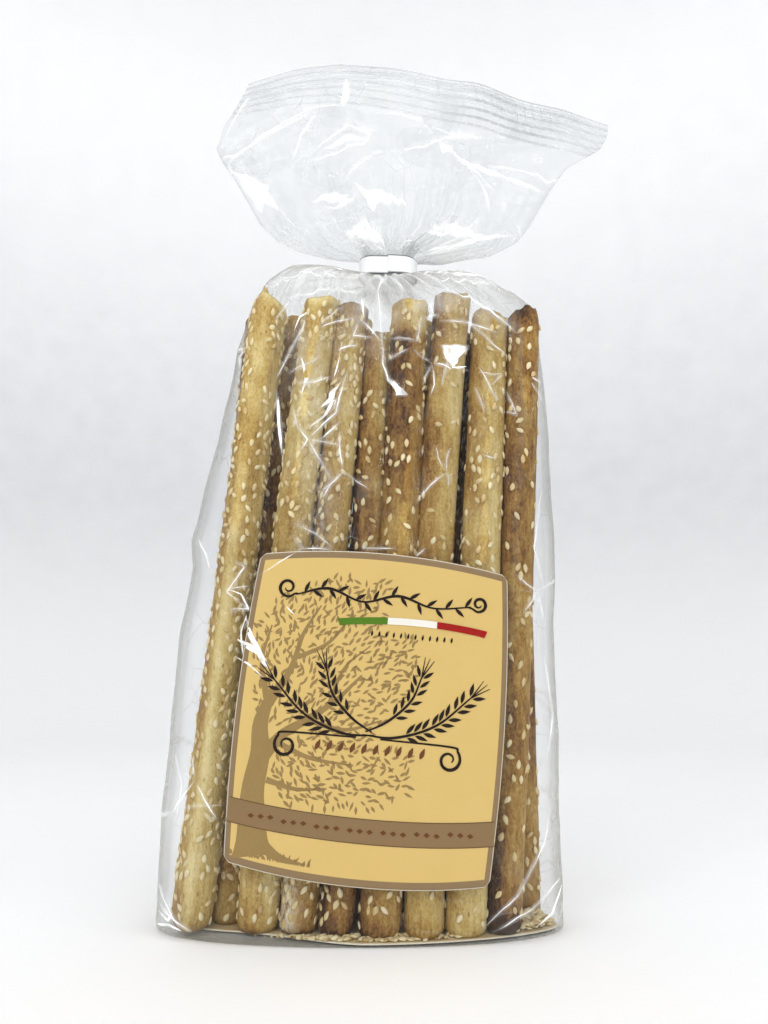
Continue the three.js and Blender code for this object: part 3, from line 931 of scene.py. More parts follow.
def random_creases(count, seed):
    """More creases for the parts that are alike: stars and single lines, seldom long."""
    chance = np.random.default_rng(seed)
    lines = []
    for _ in range(count):
        x, z = chance.uniform(-60, 66), chance.uniform(12, 226)
        if abs(x - 4) < 50 and 8 < z < 134:  # the label hides these
            continue
        for _ in range(chance.integers(1, 5)):
            turn, reach = chance.uniform(0, math.tau), chance.uniform(5, 17)
            end = (x + reach * math.cos(turn), z + reach * math.sin(turn))
            bend = ((x + end[0]) / 2 + chance.normal(0, 0.8), (z + end[1]) / 2 + chance.normal(0, 0.8))
            lines.append(([(x, z), bend, end], chance.uniform(0.5, 1.0)))
    return lines


def crease_field(x, z, lines):
    """How far each point is pushed out by the creases, and how near it is to a crest."""
    push, crest = np.zeros(x.shape), np.zeros(x.shape)
    for line, height in lines:
        off, along = distance_to_line(x, z, line)
        fade = np.clip(4 * along, 0.25, 1) * np.clip(3 * (1 - along), 0, 1) ** 0.7
        push = np.maximum(push, height * fade * np.exp(-off / 2.2))
        crest = np.maximum(crest, fade * height * np.clip(1.25 - off / 0.8, 0, 1))
    return push, crest


print(len(CREASES), "drawn creases")

# %% The body of the bag
FRONT = {"side": -1.0, "columns": 220, "step": 0.68, "name": "film_front"}
BACK = {"side": 1.0, "columns": 110, "step": 1.5, "name": "film_back"}
BODY_PLEATS, FAN_PLEATS = (15, 1), (17, 2)  # count and seed
MILK_AND_SHEEN = [  # patches of milky film and painted reflection: x, z, half width, half height, how cloudy
    (-20, 196, 7, 16, 0.7), (-9, 190, 8, 16, 0.4), (31, 221, 9, 5, 1.0), (46, 216, 8, 6, 0.6),
    (-16, 150, 9, 22, 0.45), (6, 206, 8, 12, 0.4), (17, 219, 7, 9, 1.0), (2, 215, 9, 9, 0.8),
    (-2, 140, 14, 12, 0.2), (34, 205, 10, 9, 0.35), (58, 18, 8, 10, 0.3), (-60, 8, 8, 7, 0.6),
    (50, 214, 12, 8, 0.4),
]


def across_face(count):
    """Steps from one side of the bag to the other, closer together near both sides."""
    even = np.linspace(-1, 1, count + 1)
    return mix(even, np.sin(math.pi / 2 * even), 0.7)


def grooves(x, z):
    """The film dips a little between two sticks."""
    across = (x - z * math.tan(LEAN)) / STICK_PITCH
    fade = ease(z, 4, 30) * (1 - ease(z, 207, 229))
    return 1.1 * np.sin(math.pi * across) ** 4 * fade


def pleat_waves(s, side, count, seed):
    """Uneven folds that run towards the neck: sharp crests and round valleys."""
    place = s + 0.05 * np.sin(5 * s + side) + 0.03 * np.sin(13 * s + 2 * side + seed)
    first = 1 - 2 * np.abs(np.sin(math.pi * (place * count / 2 + 0.3 * side + seed)))
    second = 1 - 2 * np.abs(np.sin(math.pi * (place * count * 0.86 + seed * 1.7 + side)))
    return 0.65 * first + 0.35 * second


def film_body(face, lines):
    """Points of one face of the bag, how creased at each, and its cloud: milky film and painted sheen."""
    s = across_face(face["columns"])
    low, high = [0.1, 0.1, 0.35, 0.8, 1.4, 2.2, 3.0], np.linspace(234.1, NECK["low"], 7)
    heights = np.concatenate([low, np.arange(3.6, 233.7, face["step"]), high])
    z = np.repeat(heights[:, None], len(s), 1)
    s = np.broadcast_to(s, z.shape)
    side = face["side"]
    left, right, depth, square = body_row(z)
    x = (left + right) / 2 + s * (right - left) / 2
    share = oval_share(s, square)
    out = depth * share - grooves(x, z) * (share > 0.4)
    push, crest = crease_field(x, z, lines)
    away = ease(z, 3, 12)
    crumple = 0.45 * lumps(x, z + 400 * side, 26.0, 77, 3, folded=True)
    crumple = crumple + 0.5 * lumps(x, z - 300 * side, 60.0, 78, 2)
    shoulder = ease(z, 208, 232)
    waves = pleat_waves(s, side, *BODY_PLEATS)
    pleats = waves * 2.2 * shoulder * (1 - 0.45 * ease(z, 232, 236))
    out = out + (push + crumple) * away * (1 - 0.5 * shoulder) + pleats * np.minimum(1, share + 0.25)
    into_neck = ease(z, 234.4, NECK["low"])
    neck_x = NECK["x"] + s * (NECK["half_width"] - 0.3)
    neck_out = (NECK["half_depth"] - 0.3) * oval_share(s, 2.4) + 0.3 * waves
    x = mix(x + 0.3 * lumps(z, 0 * z, 24.0, 79, 3) * np.abs(s) ** 6 * away, neck_x, into_neck)
    out = np.maximum(mix(out, neck_out, into_neck), 0.15)
    out[0] = 0  # the first row lies along the middle and closes the base
    rise = mix(4.4, 7.0, ease(-s, -0.2, 0.2)) * ease(z, 229, 235.2) * np.abs(s) ** 1.5 * (1 - into_neck**2)
    points = np.stack([x, side * out * (np.abs(s) < 1), z + rise], -1)
    gathered = ease(z, 224, 236) * np.exp(-(((x - NECK["x"]) / 22) ** 2))
    # painted highlights on the shoulder, strongest on its pleat crests, and milky film gathered at the neck
    milk = (0.25 + 0.45 * np.clip(pleats, 0, 1)) * ease(z, 219, 230) + 1.3 * gathered
    return points, crest, milk + (film_milk_and_sheen(x, z) if side < 0 else 0.2 * shoulder)


def film_milk_and_sheen(x, z):
    """Cloudy patches: milky where the film is doubled or rubbed, and painted reflections of the lamps."""
    cloud = np.zeros(x.shape)
    for cx, cz, wide, tall, amount in MILK_AND_SHEEN:
        cloud += amount * np.exp(-((x - cx) / wide) ** 2 - ((z - cz) / tall) ** 2)
    return cloud * (0.6 + 0.4 * lumps(x, z, 12.0, 90, 3))


film_sheets = {}


def film_sheet(name, side, points, values, finish):
    """One sheet of film, its faces turned outwards. Its points and faces are kept for the glints."""
    faces = grid_faces(*points.shape[:2])
    if side > 0:
        faces = [face[::-1] for face in faces]
    film_sheets[name] = (points, faces)
    return make_piece(name, points, faces, [finish], values, slot="clear_film")


# %% [markdown]
# Thin clear film is not glass: light hardly bends in it. It lets nearly all light straight through,
# mirrors a little, and mirrors strongly where it is seen edge on. A Transparent shader mixed with a
# Glossy one does that, with the share of mirror rising as the surface turns away. A thin veil of
# cloud is mixed in where the mesh's values ask for it: white on creases, partly as strained film
# whitens and partly as a painted highlight; white on doubled and rubbed patches, with painted
# reflections of the lamps; and grey where the film is seen at a slant, a painted shade. A web of fine
# crinkles comes from the edges of a cell texture, and is whitened as painted highlight too.

# %% The film's finish
def film_finish(name, seal=False):
    film = Finish(name)
    facing = film.node("ShaderNodeLayerWeight", {}, {"Blend": 0.5}).other("Facing")
    edge_on = facing**4.0
    painted_slant_shade = facing**1.8
    wander = film.noise(20.0, detail=2.0)
    web = film.cells(11.0, (1, 1, 0.8), "DISTANCE_TO_EDGE").step(0.03, 0.0)
    web = web * wander.step(0.52, 0.68)
    fine = film.noise(6.0, rough=0.55)
    height = fine * 0.55 + film.noise(2.0, (1, 1, 0.6), 2.0) * 0.12 + web * 0.4
    # where this is high the cloud is white: painted highlights on creases and crinkles, and milky film
    bright = (film.value("crest") * 0.5 + film.value("milk") * 0.4 + web * 0.3).step(0.02, 0.24)
    veil_and_painted_light = film.value("crest") * 0.26 + film.value("milk") * 0.24 + web * 0.13
    # painted shade: where the film is seen at a slant, the grey cloud is mixed in
    veil_and_painted_light = veil_and_painted_light + painted_slant_shade * (0.3 if seal else 0.66)
    if seal:
        # painted highlights: random facets of the seal's film flash white
        facets = film.noise(24.0, (1, 0.4, 1.2), 1.0, 0.4)
        veil_and_painted_light = veil_and_painted_light + facets.step(0.5, 0.54) * 0.1 + facets.step(0.6, 0.63) * 0.12
        from_top = film.value("from_top")
        lines = abs((from_top / 2.7).repeat() - 0.5).step(0.26, 0.44) * from_top.step(16.0, 12.5)
        bricks = abs((film.value("along") / 3.4).repeat() - 0.5).step(0.46, 0.30) * film.value("stamped")
        veil_and_painted_light = veil_and_painted_light + lines * (0.3 + 0.55 * bricks) + from_top.step(15.0, 13.0) * 0.08
        height = height + lines * 0.22 + bricks * film.value("stamped") * 0.3
    normal = film.bump(height, 0.9)
    clear_share = (0.955, 0.962, 0.962, 1) if seal else (0.98, 0.985, 0.985, 1)
    through = film.node("ShaderNodeBsdfTransparent", {}, {"Color": clear_share})
    mirror = film.node("ShaderNodeBsdfAnisotropic", {}, {
        "Color": (1, 1, 1, 1), "Roughness": 0.07, "Normal": normal})
    # grey cloud is painted shade; white cloud is painted highlight and milky film
    cloud = film.node("ShaderNodeBsdfPrincipled", {}, {
        "Base Color": film.blend(bright, paint(208, 211, 213) if seal else paint(170, 169, 158),
                                 paint(248, 249, 248)),
        "Roughness": 0.22 + 0.1 * fine, "Normal": normal})
    clear = film.node("ShaderNodeMixShader", {}, {0: 0.016 + 0.4 * edge_on, 1: through, 2: mirror})
    whole = film.node("ShaderNodeMixShader", {}, {0: veil_and_painted_light.smallest(0.85), 1: clear, 2: cloud})
    return film.close(whole)


body_film = film_finish("clear_film")
front_lines = CREASES + random_creases(20, 31)
for face, lines in ((FRONT, front_lines), (BACK, random_creases(40, 32))):
    points, crest, milk = film_body(face, lines)
    piece = film_sheet(face["name"], face["side"], points, {"crest": crest, "milk": milk}, body_film)
    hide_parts("bag")

# %% [markdown]
# Above the band the same film opens into a fan: round at the neck, then flatter and flatter up to a
# straight seal. Rings run from the neck to the seal. Each bows upwards in its middle, and pleats
# that start sharp at the band die out on the way up. The seal is pressed flat with fine lines along
# it, and part of it is stamped with short bars.

# %% The fan above the band
# left x and z, right x and z, bow of the middle, half depth
FAN = np.array([
    (0.9, 244.4, 20.9, 244.4, 0.0, 4.0), (-3.0, 244.7, 25.5, 244.6, 1.4, 5.0),
    (-13.0, 245.0, 36.0, 244.8, 4.6, 7.0), (-25.0, 248.2, 52.0, 247.0, 8.4, 9.5),
    (-34.0, 252.6, 62.0, 252.6, 11.6, 11.8), (-40.5, 259.5, 67.5, 259.5, 12.5, 13.0),
    (-44.5, 267.0, 72.0, 267.5, 15.0, 13.2), (-50.0, 277.0, 77.5, 277.0, 18.0, 12.0),
    (-54.6, 285.0, 84.5, 285.5, 20.0, 10.0), (-58.2, 291.5, 91.0, 290.0, 21.0, 8.4),
    (-56.0, 300.5, 98.0, 294.5, 21.0, 6.0), (-51.0, 312.0, 101.4, 300.5, 19.0, 3.0),
    (-46.4, 321.5, 102.0, 305.8, 17.0, 0.5),
])
FAN_SWAY = {"reach": 5.0, "bend": 2.4, "shift": 0.5}
FAN_CREASES = [  # in x and z of the fan's face
    ([(-56, 287), (-48, 286)], 1.0), ([(-53, 284), (-47, 287), (-18, 303)], 1.6),
    ([(-47, 289), (-19, 304), (-8, 306)], 1.0), ([(-46, 315), (-49, 309), (-55, 293)], 1.1),
    ([(-25, 278), (-14, 288), (-4, 294), (4, 291), (2, 287), (-13, 281), (-24, 278)], 1.5),
    ([(-31, 249), (-15, 255), (1, 258)], 1.0), ([(11, 245), (4, 257)], 0.9), ([(12, 246), (15, 256)], 0.9),
    ([(13, 246), (21, 251)], 0.8), ([(10, 246), (0, 251)], 0.9), ([(8, 246), (-8, 250)], 0.8),
    ([(10, 285), (25, 287), (35, 293), (50, 295)], 1.5), ([(-7, 270), (1, 279), (10, 285)], 1.4),
    ([(32, 291), (39, 284), (47, 277), (54, 269)], 1.1), ([(40, 284), (58, 275), (73, 272)], 1.6),
    ([(50, 282), (71, 279), (75, 277), (83, 282), (93, 285)], 1.4),
    ([(75, 272), (85, 281), (95, 286)], 1.1),
    ([(61, 259), (66, 251)], 1.0), ([(23, 245), (42, 250), (61, 255)], 1.0), ([(-38, 253), (-32, 249)], 1.0),
    ([(28, 298), (36, 295), (49, 294)], 1.0), ([(-27, 278), (-23, 292), (-17, 303)], 0.9),
    ([(0, 266), (-8, 261), (-19, 259)], 1.1), ([(32, 259), (36, 253), (42, 251)], 0.9),
    ([(44, 280), (49, 271), (51, 259)], 0.8), ([(-40, 259), (-40, 255), (-37, 253)], 0.8),
    ([(-53, 285), (-51, 277), (-41, 259)], 1.1), ([(5, 303), (17, 302), (26, 298), (30, 293)], 0.9),
]


def film_fan(side, columns, rows):
    """Points of one face of the fan, and the values its finish reads."""
    s = across_face(columns)
    shares = np.linspace(0, 1, rows) ** 1.15
    level = shares * (len(FAN) - 1)
    left_x, left_z, right_x, right_z, bow, depth = (
        np.interp(level, np.arange(len(FAN)), FAN[:, k])[:, None] for k in range(6))
    share = shares[:, None]
    along = (s + 1) / 2
    x = mix(left_x, right_x, along)
    z = mix(left_z, right_z, along) + bow * (1 - s * s)
    face = oval_share(s, 2.0)
    s = np.broadcast_to(s, x.shape)
    opened = ease(share, 0.02, 0.2)
    flat = 1 - ease(share, 0.35, 0.95)
    pleats = pleat_waves(s, side, *FAN_PLEATS) * 2.3 * opened * (1 - ease(share, 0.12, 0.75))
    pleats = pleats + 0.35 * pleat_waves(s, side, *BODY_PLEATS) * (1 - opened)
    push, crest = crease_field(x, z, FAN_CREASES)
    pressed = ease(share, 0.93, 1)
    push, crest = push * (1 - pressed), crest * (1.0 if side < 0 else 0.4)
    soft = 1.7 * lumps(x, z + 500 * side, 46.0, 61, 3) * opened * (0.25 + flat)
    sharp = 0.9 * lumps(x, z - 500 * side, 30.0, 62, 3, folded=True) * opened * (0.25 + 0.75 * flat)
    out = depth * face + (pleats + soft + sharp) * (0.35 + 0.65 * face) + push * 1.3 * (face + 0.2)
    sway = FAN_SWAY["reach"] * share * np.sin(FAN_SWAY["bend"] * s + FAN_SWAY["shift"])
    ripple = 1.2 * ease(share, 0.5, 1) * lumps(x, z * 0.2, 26.0, 63, 2)
    out = mix(np.maximum(out, 0.2), 0.12, pressed) * (np.abs(s) < 1)
    rim = 0.9 * lumps(x, 0 * x, 30.0, 64, 3) * share
    edge = 0.8 * lumps(z, 0 * z, 22.0, 65, 3) * np.abs(s) ** 4 * opened
    points = np.stack([x + edge, sway + ripple + side * out, z + rim * 0.5], -1)
    top_z = mix(FAN[-1, 1], FAN[-1, 3], along) + FAN[-1, 4] * (1 - s * s)
    from_top = top_z - z
    stamped = ease(x, 38, 50) * (1 - ease(x, 72, 86)) * ease(-from_top, -15, -12)
    near_neck = (1 - ease(share, 0.1, 0.5)) * (0.7 + 0.5 * lumps(x, z, 16.0, 66, 3))
    # painted highlights along the pleat crests, and the milky film near the neck
    milk = 0.5 * np.clip(pleats / 2.3, -0.2, 1) + opened * near_neck
    return points, {"crest": crest, "milk": milk, "from_top": from_top, "stamped": stamped, "along": x}


seal_film = film_finish("clear_film_sealed", seal=True)
for name, side, columns, rows in (("fan_front", -1.0, 210, 170), ("fan_back", 1.0, 110, 90)):
    film_sheet(name, side, *film_fan(side, columns, rows), seal_film)

# %% [markdown]
# At the band the film is gathered in many layers, which look milky together. One skin can't show
# that, so a second, deeply folded tube stands inside the neck. It fades out above and below it.

# %% The gathered layers in the neck
GATHERS = {"rows": 33, "turns": 240, "reach": 12.0, "middle": 240.2}
gather_turn = full_turn(GATHERS["turns"])
gather_rows, gather_milk = [], []
for height in np.linspace(-GATHERS["reach"], GATHERS["reach"], GATHERS["rows"]):
    away = abs(height) / GATHERS["reach"]
    wide = 1 + 0.6 * away**2
    fold = np.abs(np.sin(gather_turn * 8.5 + 0.02 * height) * np.sin(gather_turn * 3.5 + 1))
    fold = 0.66 + 0.3 * fold
    gather_x = NECK["x"] + (NECK["half_width"] - 0.9) * wide * fold * np.cos(gather_turn)
    gather_y = (NECK["half_depth"] - 0.7) * wide * fold * np.sin(gather_turn)
    gather_z = np.full_like(gather_x, GATHERS["middle"] + height)
    gather_rows.append(np.stack([gather_x, gather_y, gather_z], -1))
    gather_milk.append(np.full_like(gather_x, 3.2 * (1 - away) ** 0.8))
gather_faces = grid_faces(GATHERS["rows"], GATHERS["turns"], closed=True)
make_piece("film_gathers", gather_rows, gather_faces, [body_film],
           {"crest": np.zeros_like(gather_milk), "milk": gather_milk}, slot="clear_film")

# %% [markdown]
# The clip band is a flat white strip with a wire in each edge, bent round the gathered film until its
# ends meet in front. An extruded outline would give it flat faces, so its section is lofted along
# the bend instead: thicker along the two wires, with grey edges, and its right end a touch lower.

# %% The clip band
def clip_path(count):
    """Points and outward directions round the band, from one end at the front to the other."""
    straight = NECK["half_width"] - NECK["half_depth"]
    radius = NECK["half_depth"] + 0.8
    half = 2 * straight + math.pi * radius
    rows = []
    for run in np.linspace(0, 2 * half, count):
        way = 1 if run <= half else -1  # the left half mirrors the right one
        run = min(run, 2 * half - run)
        a = float(np.clip((run - straight) / radius, 0, math.pi)) - math.pi / 2
        x = min(run, straight) + radius * math.cos(a) - max(0, run - straight - math.pi * radius)
        rows.append((way * x, radius * math.sin(a), way * math.cos(a), math.sin(a)))
    return np.array(rows)


CLIP_SECTION = [  # height, half thickness
    (-3.95, 0.12), (-3.6, 0.34), (-3.0, 0.36), (-2.4, 0.2), (0, 0.16), (2.4, 0.2), (3.0, 0.36),
    (3.3, 0.36), (3.45, 0.35), (3.6, 0.34), (3.95, 0.12),
]
band = clip_path(96)
section = CLIP_SECTION + [(h, -t) for h, t in reversed(CLIP_SECTION)]
clip_mid = (clip_low.z + clip_high.z) / 2
clip_points, clip_edge = [], []
for (x, y, out_x, out_y), share in zip(band, np.linspace(-1, 1, len(band))):
    dip = 0.28 * math.copysign(1, -share) * ease(abs(share), 0.4, 0.95) - 0.35 * (x / 11) ** 2
    for h, t in section:
        clip_points.append([NECK["x"] + x + out_x * t, y + out_y * t, clip_mid + h + dip - 0.03 * x])
        clip_edge.append(ease(abs(h), 3.3, 3.45))
clip_faces = grid_faces(len(band), len(section), closed=True)
clip_faces.append(list(range(len(section)))[::-1])
clip_faces.append([len(clip_points) - len(section) + i for i in range(len(section))])
strip = Finish("white_clip_strip")
strip_grain = strip.noise(0.8)
strip_white = strip.blend(strip_grain, paint(250, 251, 251), paint(242, 244, 244))
# grey along the band's top and bottom edges
strip_colour = strip.blend(strip.value("wire") * 0.95, strip_white, paint(84, 90, 94))
strip_shader = strip.node("ShaderNodeBsdfPrincipled", {}, {
    "Base Color": strip_colour, "Roughness": 0.38 + 0.12 * strip_grain,
    "Normal": strip.bump(strip_grain, 0.05)})
clip_piece = make_piece("clip_strip", clip_points, clip_faces, [strip.close(strip_shader)],
                        {"wire": clip_edge}, slot="clip_plastic")
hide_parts("clip_band")

# %% [markdown]
# The label is coated paper stuck on the face of the bag, tilted a little, with bowed sides. Its border
# and its band follow its own edges, so the mesh stores how far each point lies from them, and the
# finish draws crisp lines from those distances. An image could do it too, but would blur close up.

# %% The label's sheet
LABEL = {
    "x": 4.8, "z": 71.5, "half_width": 42.7, "half_height": 49.9, "side_bulge": 2.2, "end_bulge": 3.8,
    "tilt": math.radians(5.2), "corner": 1.6, "gap": 0.35, "thickness": 0.3,
}


def label_spot(u, w, out):
    """A point of the label's face from millimetres across and up it, standing out by out."""
    x = LABEL["x"] + u * math.cos(LABEL["tilt"]) + w * math.sin(LABEL["tilt"])
    z = LABEL["z"] - u * math.sin(LABEL["tilt"]) + w * math.cos(LABEL["tilt"])
    crinkled = ease(-u, 30, 42) * ease(w, -6, 8) * (1 - ease(w, 30, 40))  # a part of its left edge
    crinkle = 0.28 * lumps(u, w, 11.0, 41, 3, folded=True) * crinkled
    swell = 0.35 * lumps(u, w, 44.0, 40, 2)
    y = -film_front(x, z) - LABEL["gap"] - LABEL["thickness"] - 0.8 + 0.3 * swell - crinkle - out
    return np.stack([x, y, z], -1)


def label_size(p, q):
    """Millimetres across and up the label from shares of its half width and height."""
    u = p * (LABEL["half_width"] + LABEL["side_bulge"] * (1 - q * q))
    w = q * (LABEL["half_height"] + LABEL["end_bulge"] * (1 - p * p))
    return u, w


q, p = np.meshgrid(np.linspace(-1, 1, 110), np.linspace(-1, 1, 96), indexing="ij")
u, w = label_size(p, q)
beside = (1 - np.abs(p)) * (LABEL["half_width"] + LABEL["side_bulge"] * (1 - q * q))
below = (1 - np.abs(q)) * (LABEL["half_height"] + LABEL["end_bulge"] * (1 - p * p))
corner = LABEL["corner"]
pull = np.clip(corner - beside, 0, None) * np.clip(corner - below, 0, None) / corner * 0.45
u, w = u - np.sign(p) * pull, w - np.sign(q) * pull
paper = Finish("label_paper")
weave = paper.noise(0.9, detail=4.0)
cloudy = paper.noise(16.0, detail=2.0)
field = paper.blend(cloudy, paint(219, 187, 113), paint(212, 180, 105))
from_edge = paper.value("beside").smallest(paper.value("below"))
border = paper.value("beside").smallest(paper.value("below") * 0.8).step(2.0, 1.85)
sheet = paper.blend(border, field, paint(137, 112, 76))
sheet = paper.blend(from_edge.step(0.32, 0.22), sheet, paint(222, 212, 190))
paper_shader = paper.node("ShaderNodeBsdfPrincipled", {}, {
    "Base Color": sheet, "Roughness": 0.34 + 0.14 * weave, "Normal": paper.bump(weave, 0.03)})
label_sheet = (label_spot(u, w, 0), grid_faces(*u.shape))
label_piece = make_piece("paper_label", *label_sheet, [paper.close(paper_shader)],
                         {"beside": beside, "below": below}, slot="label_paper")
thick = label_piece.modifiers.new("paper_thickness", "SOLIDIFY")
thick.thickness, thick.offset = LABEL["thickness"] * MM, -1
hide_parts("label")

# %% [markdown]
# The real label has text over a picture. Here plain ornaments fill both places: a small leafy tree
# over grass, ears of grain tied in the middle, a vine with tendrils, a bar in three colours, rows of
# grains, and lozenges along the band. Each could be a curve object, but it has to bend with the paper.
# So a brush stroke is a smooth curve whose width changes, a leaf or grain is a pointed oval, and both
# are laid on the label's own formula, a few hundredths of a millimetre above it.

# %% Ornaments printed on the label
INK = {"low": 0.05, "step": 0.03}  # how far the first ink stands on the paper, and each one more
prints = Gathering()


def ink_shape(spots, faces, kind):
    """One flat shape on the label, in one kind of ink."""
    laid = label_spot(spots[..., 0], spots[..., 1], INK["low"] + INK["step"] * kind)
    prints.add(laid.reshape(-1, 3).tolist(), faces, [kind] * len(faces))


def ink_outline(outline, kind):
    """A flat shape from its outline, filled from its middle."""
    outline = np.asarray(outline, float)
    count = len(outline)
    faces = [[i, (i + 1) % count, count] for i in range(count)]
    ink_shape(np.vstack([outline, outline.mean(0)]), faces, kind)


def leaf(u, w, turn, long, wide, kind):
    """A leaf or a grain: a pointed oval, fuller near its foot at u and w."""
    shares = np.linspace(0, long, 6) / long
    shape = [(t * long, wide * math.sin(math.pi * t) * (1.15 - 0.5 * t)) for t in shares]
    outline = shape + [(t, -h) for t, h in shape[-2:0:-1]]
    c, s = math.cos(turn), math.sin(turn)
    ink_outline([(u + t * c - h * s, w + t * s + h * c) for t, h in outline], kind)


def sideways(along):
    """Unit steps to the left of each step along a curve."""
    return np.stack([-along[:, 1], along[:, 0]], -1) / np.linalg.norm(along, axis=1)[:, None]


def stroke(points, widths, kind, steps=26):
    """A brush stroke along a smooth curve, thick and thin as widths say."""
    points = np.asarray(points, float)
    t = np.linspace(0, len(points) - 1, steps)
    curve = np.stack([smooth_through(points[:, k], t) for k in (0, 1)], -1)
    width = np.interp(t, np.linspace(0, len(points) - 1, len(widths)), widths)[:, None] / 2
    along = np.gradient(curve, axis=0)
    lanes = 2 + int(width.max() / 0.6)  # wide strokes need points between their sides
    reach = sideways(along) * width
    ink_shape(curve[:, None] + reach[:, None] * np.linspace(-1, 1, lanes)[None, :, None],
              grid_faces(steps, lanes), kind)
    return curve, along


def smooth_through(values, t):
    """A smooth curve through values at 0, 1, 2 and so on, read at t."""
    padded = np.concatenate([[2 * values[0] - values[1]], values, [2 * values[-1] - values[-2]]])
    k = np.clip(t.astype(int), 0, len(values) - 2)
    f = t - k
    a, b, c, d = (padded[k + i] for i in range(4))
    return 0.5 * (2 * b + (c - a) * f + (2 * a - 5 * b + 4 * c - d) * f**2 + (3 * b - a - 3 * c + d) * f**3)


BROWN, BAND, LINE, RUSSET, DARK, GREEN, WHITE, RED = range(8)
pen = np.random.default_rng(3)


def crown(u, w):
    """Above 0 inside the crown of the tree, and higher further in."""
    lobes = float(lumps(np.array(u), np.array(w), 15.0, 8, 3))
    top = 1 - math.hypot((u + 15) / 27, (w - 13) / 30)
    low = 1 - math.hypot((u + 9) / 24, (w + 19) / 12)
    return max(top, low) + 0.2 * lobes


TRUNK = [  # points of each stroke, then its widths
    ([(-33.5, -47.5), (-34.5, -42), (-36, -28), (-35, -16), (-36, -6), (-33, 5)],
     [14, 10, 7.5, 6.5, 5, 2.6]),
    ([(-31, -44), (-25, -47.2), (-17, -48.6)], [4, 2.4, 0.6]),
    ([(-36, -20), (-29, -10), (-21, -4), (-12, 3), (-4, 12)], [5, 3.4, 2.4, 1.7, 0.7]),
    ([(-34, 0), (-28, 12), (-25, 24), (-20, 34)], [3, 2.0, 1.3, 0.5]),
    ([(-35, 2), (-38, 14), (-36, 26)], [2.4, 1.4, 0.5]), ([(-26, 16), (-16, 22), (-9, 32)], [1.6, 1.1, 0.5]),
    ([(-21, -4), (-8, -6), (4, -2)], [1.9, 1.2, 0.5]), ([(-30, -12), (-18, -16), (-4, -17)], [2, 1.3, 0.5]),
    ([(-14, 2), (-10, 14), (-2, 22)], [1.4, 0.9, 0.4]),
    ([(-32, -24), (-22, -26), (-12, -25)], [2, 1.2, 0.4]),
]
for points, widths in TRUNK:
    stroke(points, widths, BROWN, 22)
tufts = []
for _ in range(5200):
    spot = pen.uniform((-41, -30), (14, 44))
    if crown(*spot) < 0.02 or any(math.hypot(*(spot - other)) < 1.5 for other in tufts):
        continue
    tufts.append(spot)
    heading = math.atan2(spot[1] + 12, spot[0] + 34) + pen.normal(0, 0.65)
    leaf(*spot, heading, pen.uniform(2.2, 3.4), pen.uniform(0.42, 0.6), BROWN)
for k, u in enumerate(np.linspace(-41, -15, 30)):  # grass at the tree's foot
    leaf(u, -47.6 - 0.07 * (u + 41), math.pi / 2 + pen.normal(0, 0.4), pen.uniform(1.5, 3.4), 0.4, BROWN)
print(len(tufts), "leaves on the label's tree")


def band_line(offset):
    """Points along the band low on the label, from its left end to its right end."""
    return [(u, -34.2 - 2.8 * (1 - (u / 42.7) ** 2) + offset) for u in np.linspace(-43.2, 43.2, 9)]


stroke(band_line(0), [7.5, 7.5], BAND, 60)
stroke(band_line(3.75), [0.25, 0.25], LINE, 60)
stroke(band_line(-3.75), [0.25, 0.25], LINE, 60)


def ear(points, grains, size, kind):
    """An ear of grain: a thin bent stalk, separate grains in pairs, and a beard at its tip."""
    curve, along = stroke(points, [0.45, 0.9, 0.8, 0.5], kind, 48)
    for i in np.linspace(20, 47, grains).astype(int):
        heading = math.atan2(along[i, 1], along[i, 0])
        for way in (-1, 1):
            base_u, base_w = curve[i] + 0.6 * way * np.array([-math.sin(heading), math.cos(heading)])
            leaf(base_u, base_w, heading + way * 0.62, size, size * 0.16, kind)
    heading = math.atan2(along[-1, 1], along[-1, 0])
    for way in (-0.24, 0, 0.24):
        u, w = curve[-1]
        end = (u + 7 * math.cos(heading + way), w + 7 * math.sin(heading + way))
        stroke([(u, w), end], [0.5, 0.2], kind, 4)


def scroll(u, w, radius, turn, way, lead):
    """A thin spiral that ends a vine, so that it reads as a tendril."""
    angles = np.linspace(0, 1.35 * math.tau, 12)
    reach = radius * (1 - 0.72 * angles / angles[-1])
    spots = np.stack([u + reach * np.cos(turn + way * angles), w + reach * np.sin(turn + way * angles)], -1)
    stroke([lead, *spots], [0.5, 1.1, 0.9, 0.35], DARK, 60)


# the large ornament: two ears of grain tied in the middle, with tendrils below
for way in (-1, 1):
    ear([(-2 * way, -7), (9 * way, -7), (22 * way, -2), (33 * way, 8)], 9, 4.6, DARK)
    ear([(-1 * way, -6), (6 * way, -2), (13 * way, 5), (16 * way, 13)], 6, 4.2, DARK)
    scroll(27 * way, -12.5, 4.2, math.pi / 2, -way, (4 * way, -8))
# the small ornament above it: a fine vine with leaves in turn and a tendril at each end
vine, vine_along = stroke([(-29, 37), (-18, 40), (-6, 36.5), (6, 39.5), (18, 36.5), (31, 38)],
                          [0.5, 1.0, 0.6, 1.0, 0.6, 0.5], DARK, 60)
scroll(-32, 39.2, 3.4, -0.6, -1, (-28, 37.2))
scroll(33.6, 39.2, 2.8, -2.5, 1, (30, 37.8))
for k, i in enumerate(range(3, 58, 3)):
    heading, way = math.atan2(vine_along[i, 1], vine_along[i, 0]), (-1) ** k
    leaf(vine[i, 0], vine[i, 1], heading + way * 0.85, 4.4, 0.68, DARK)
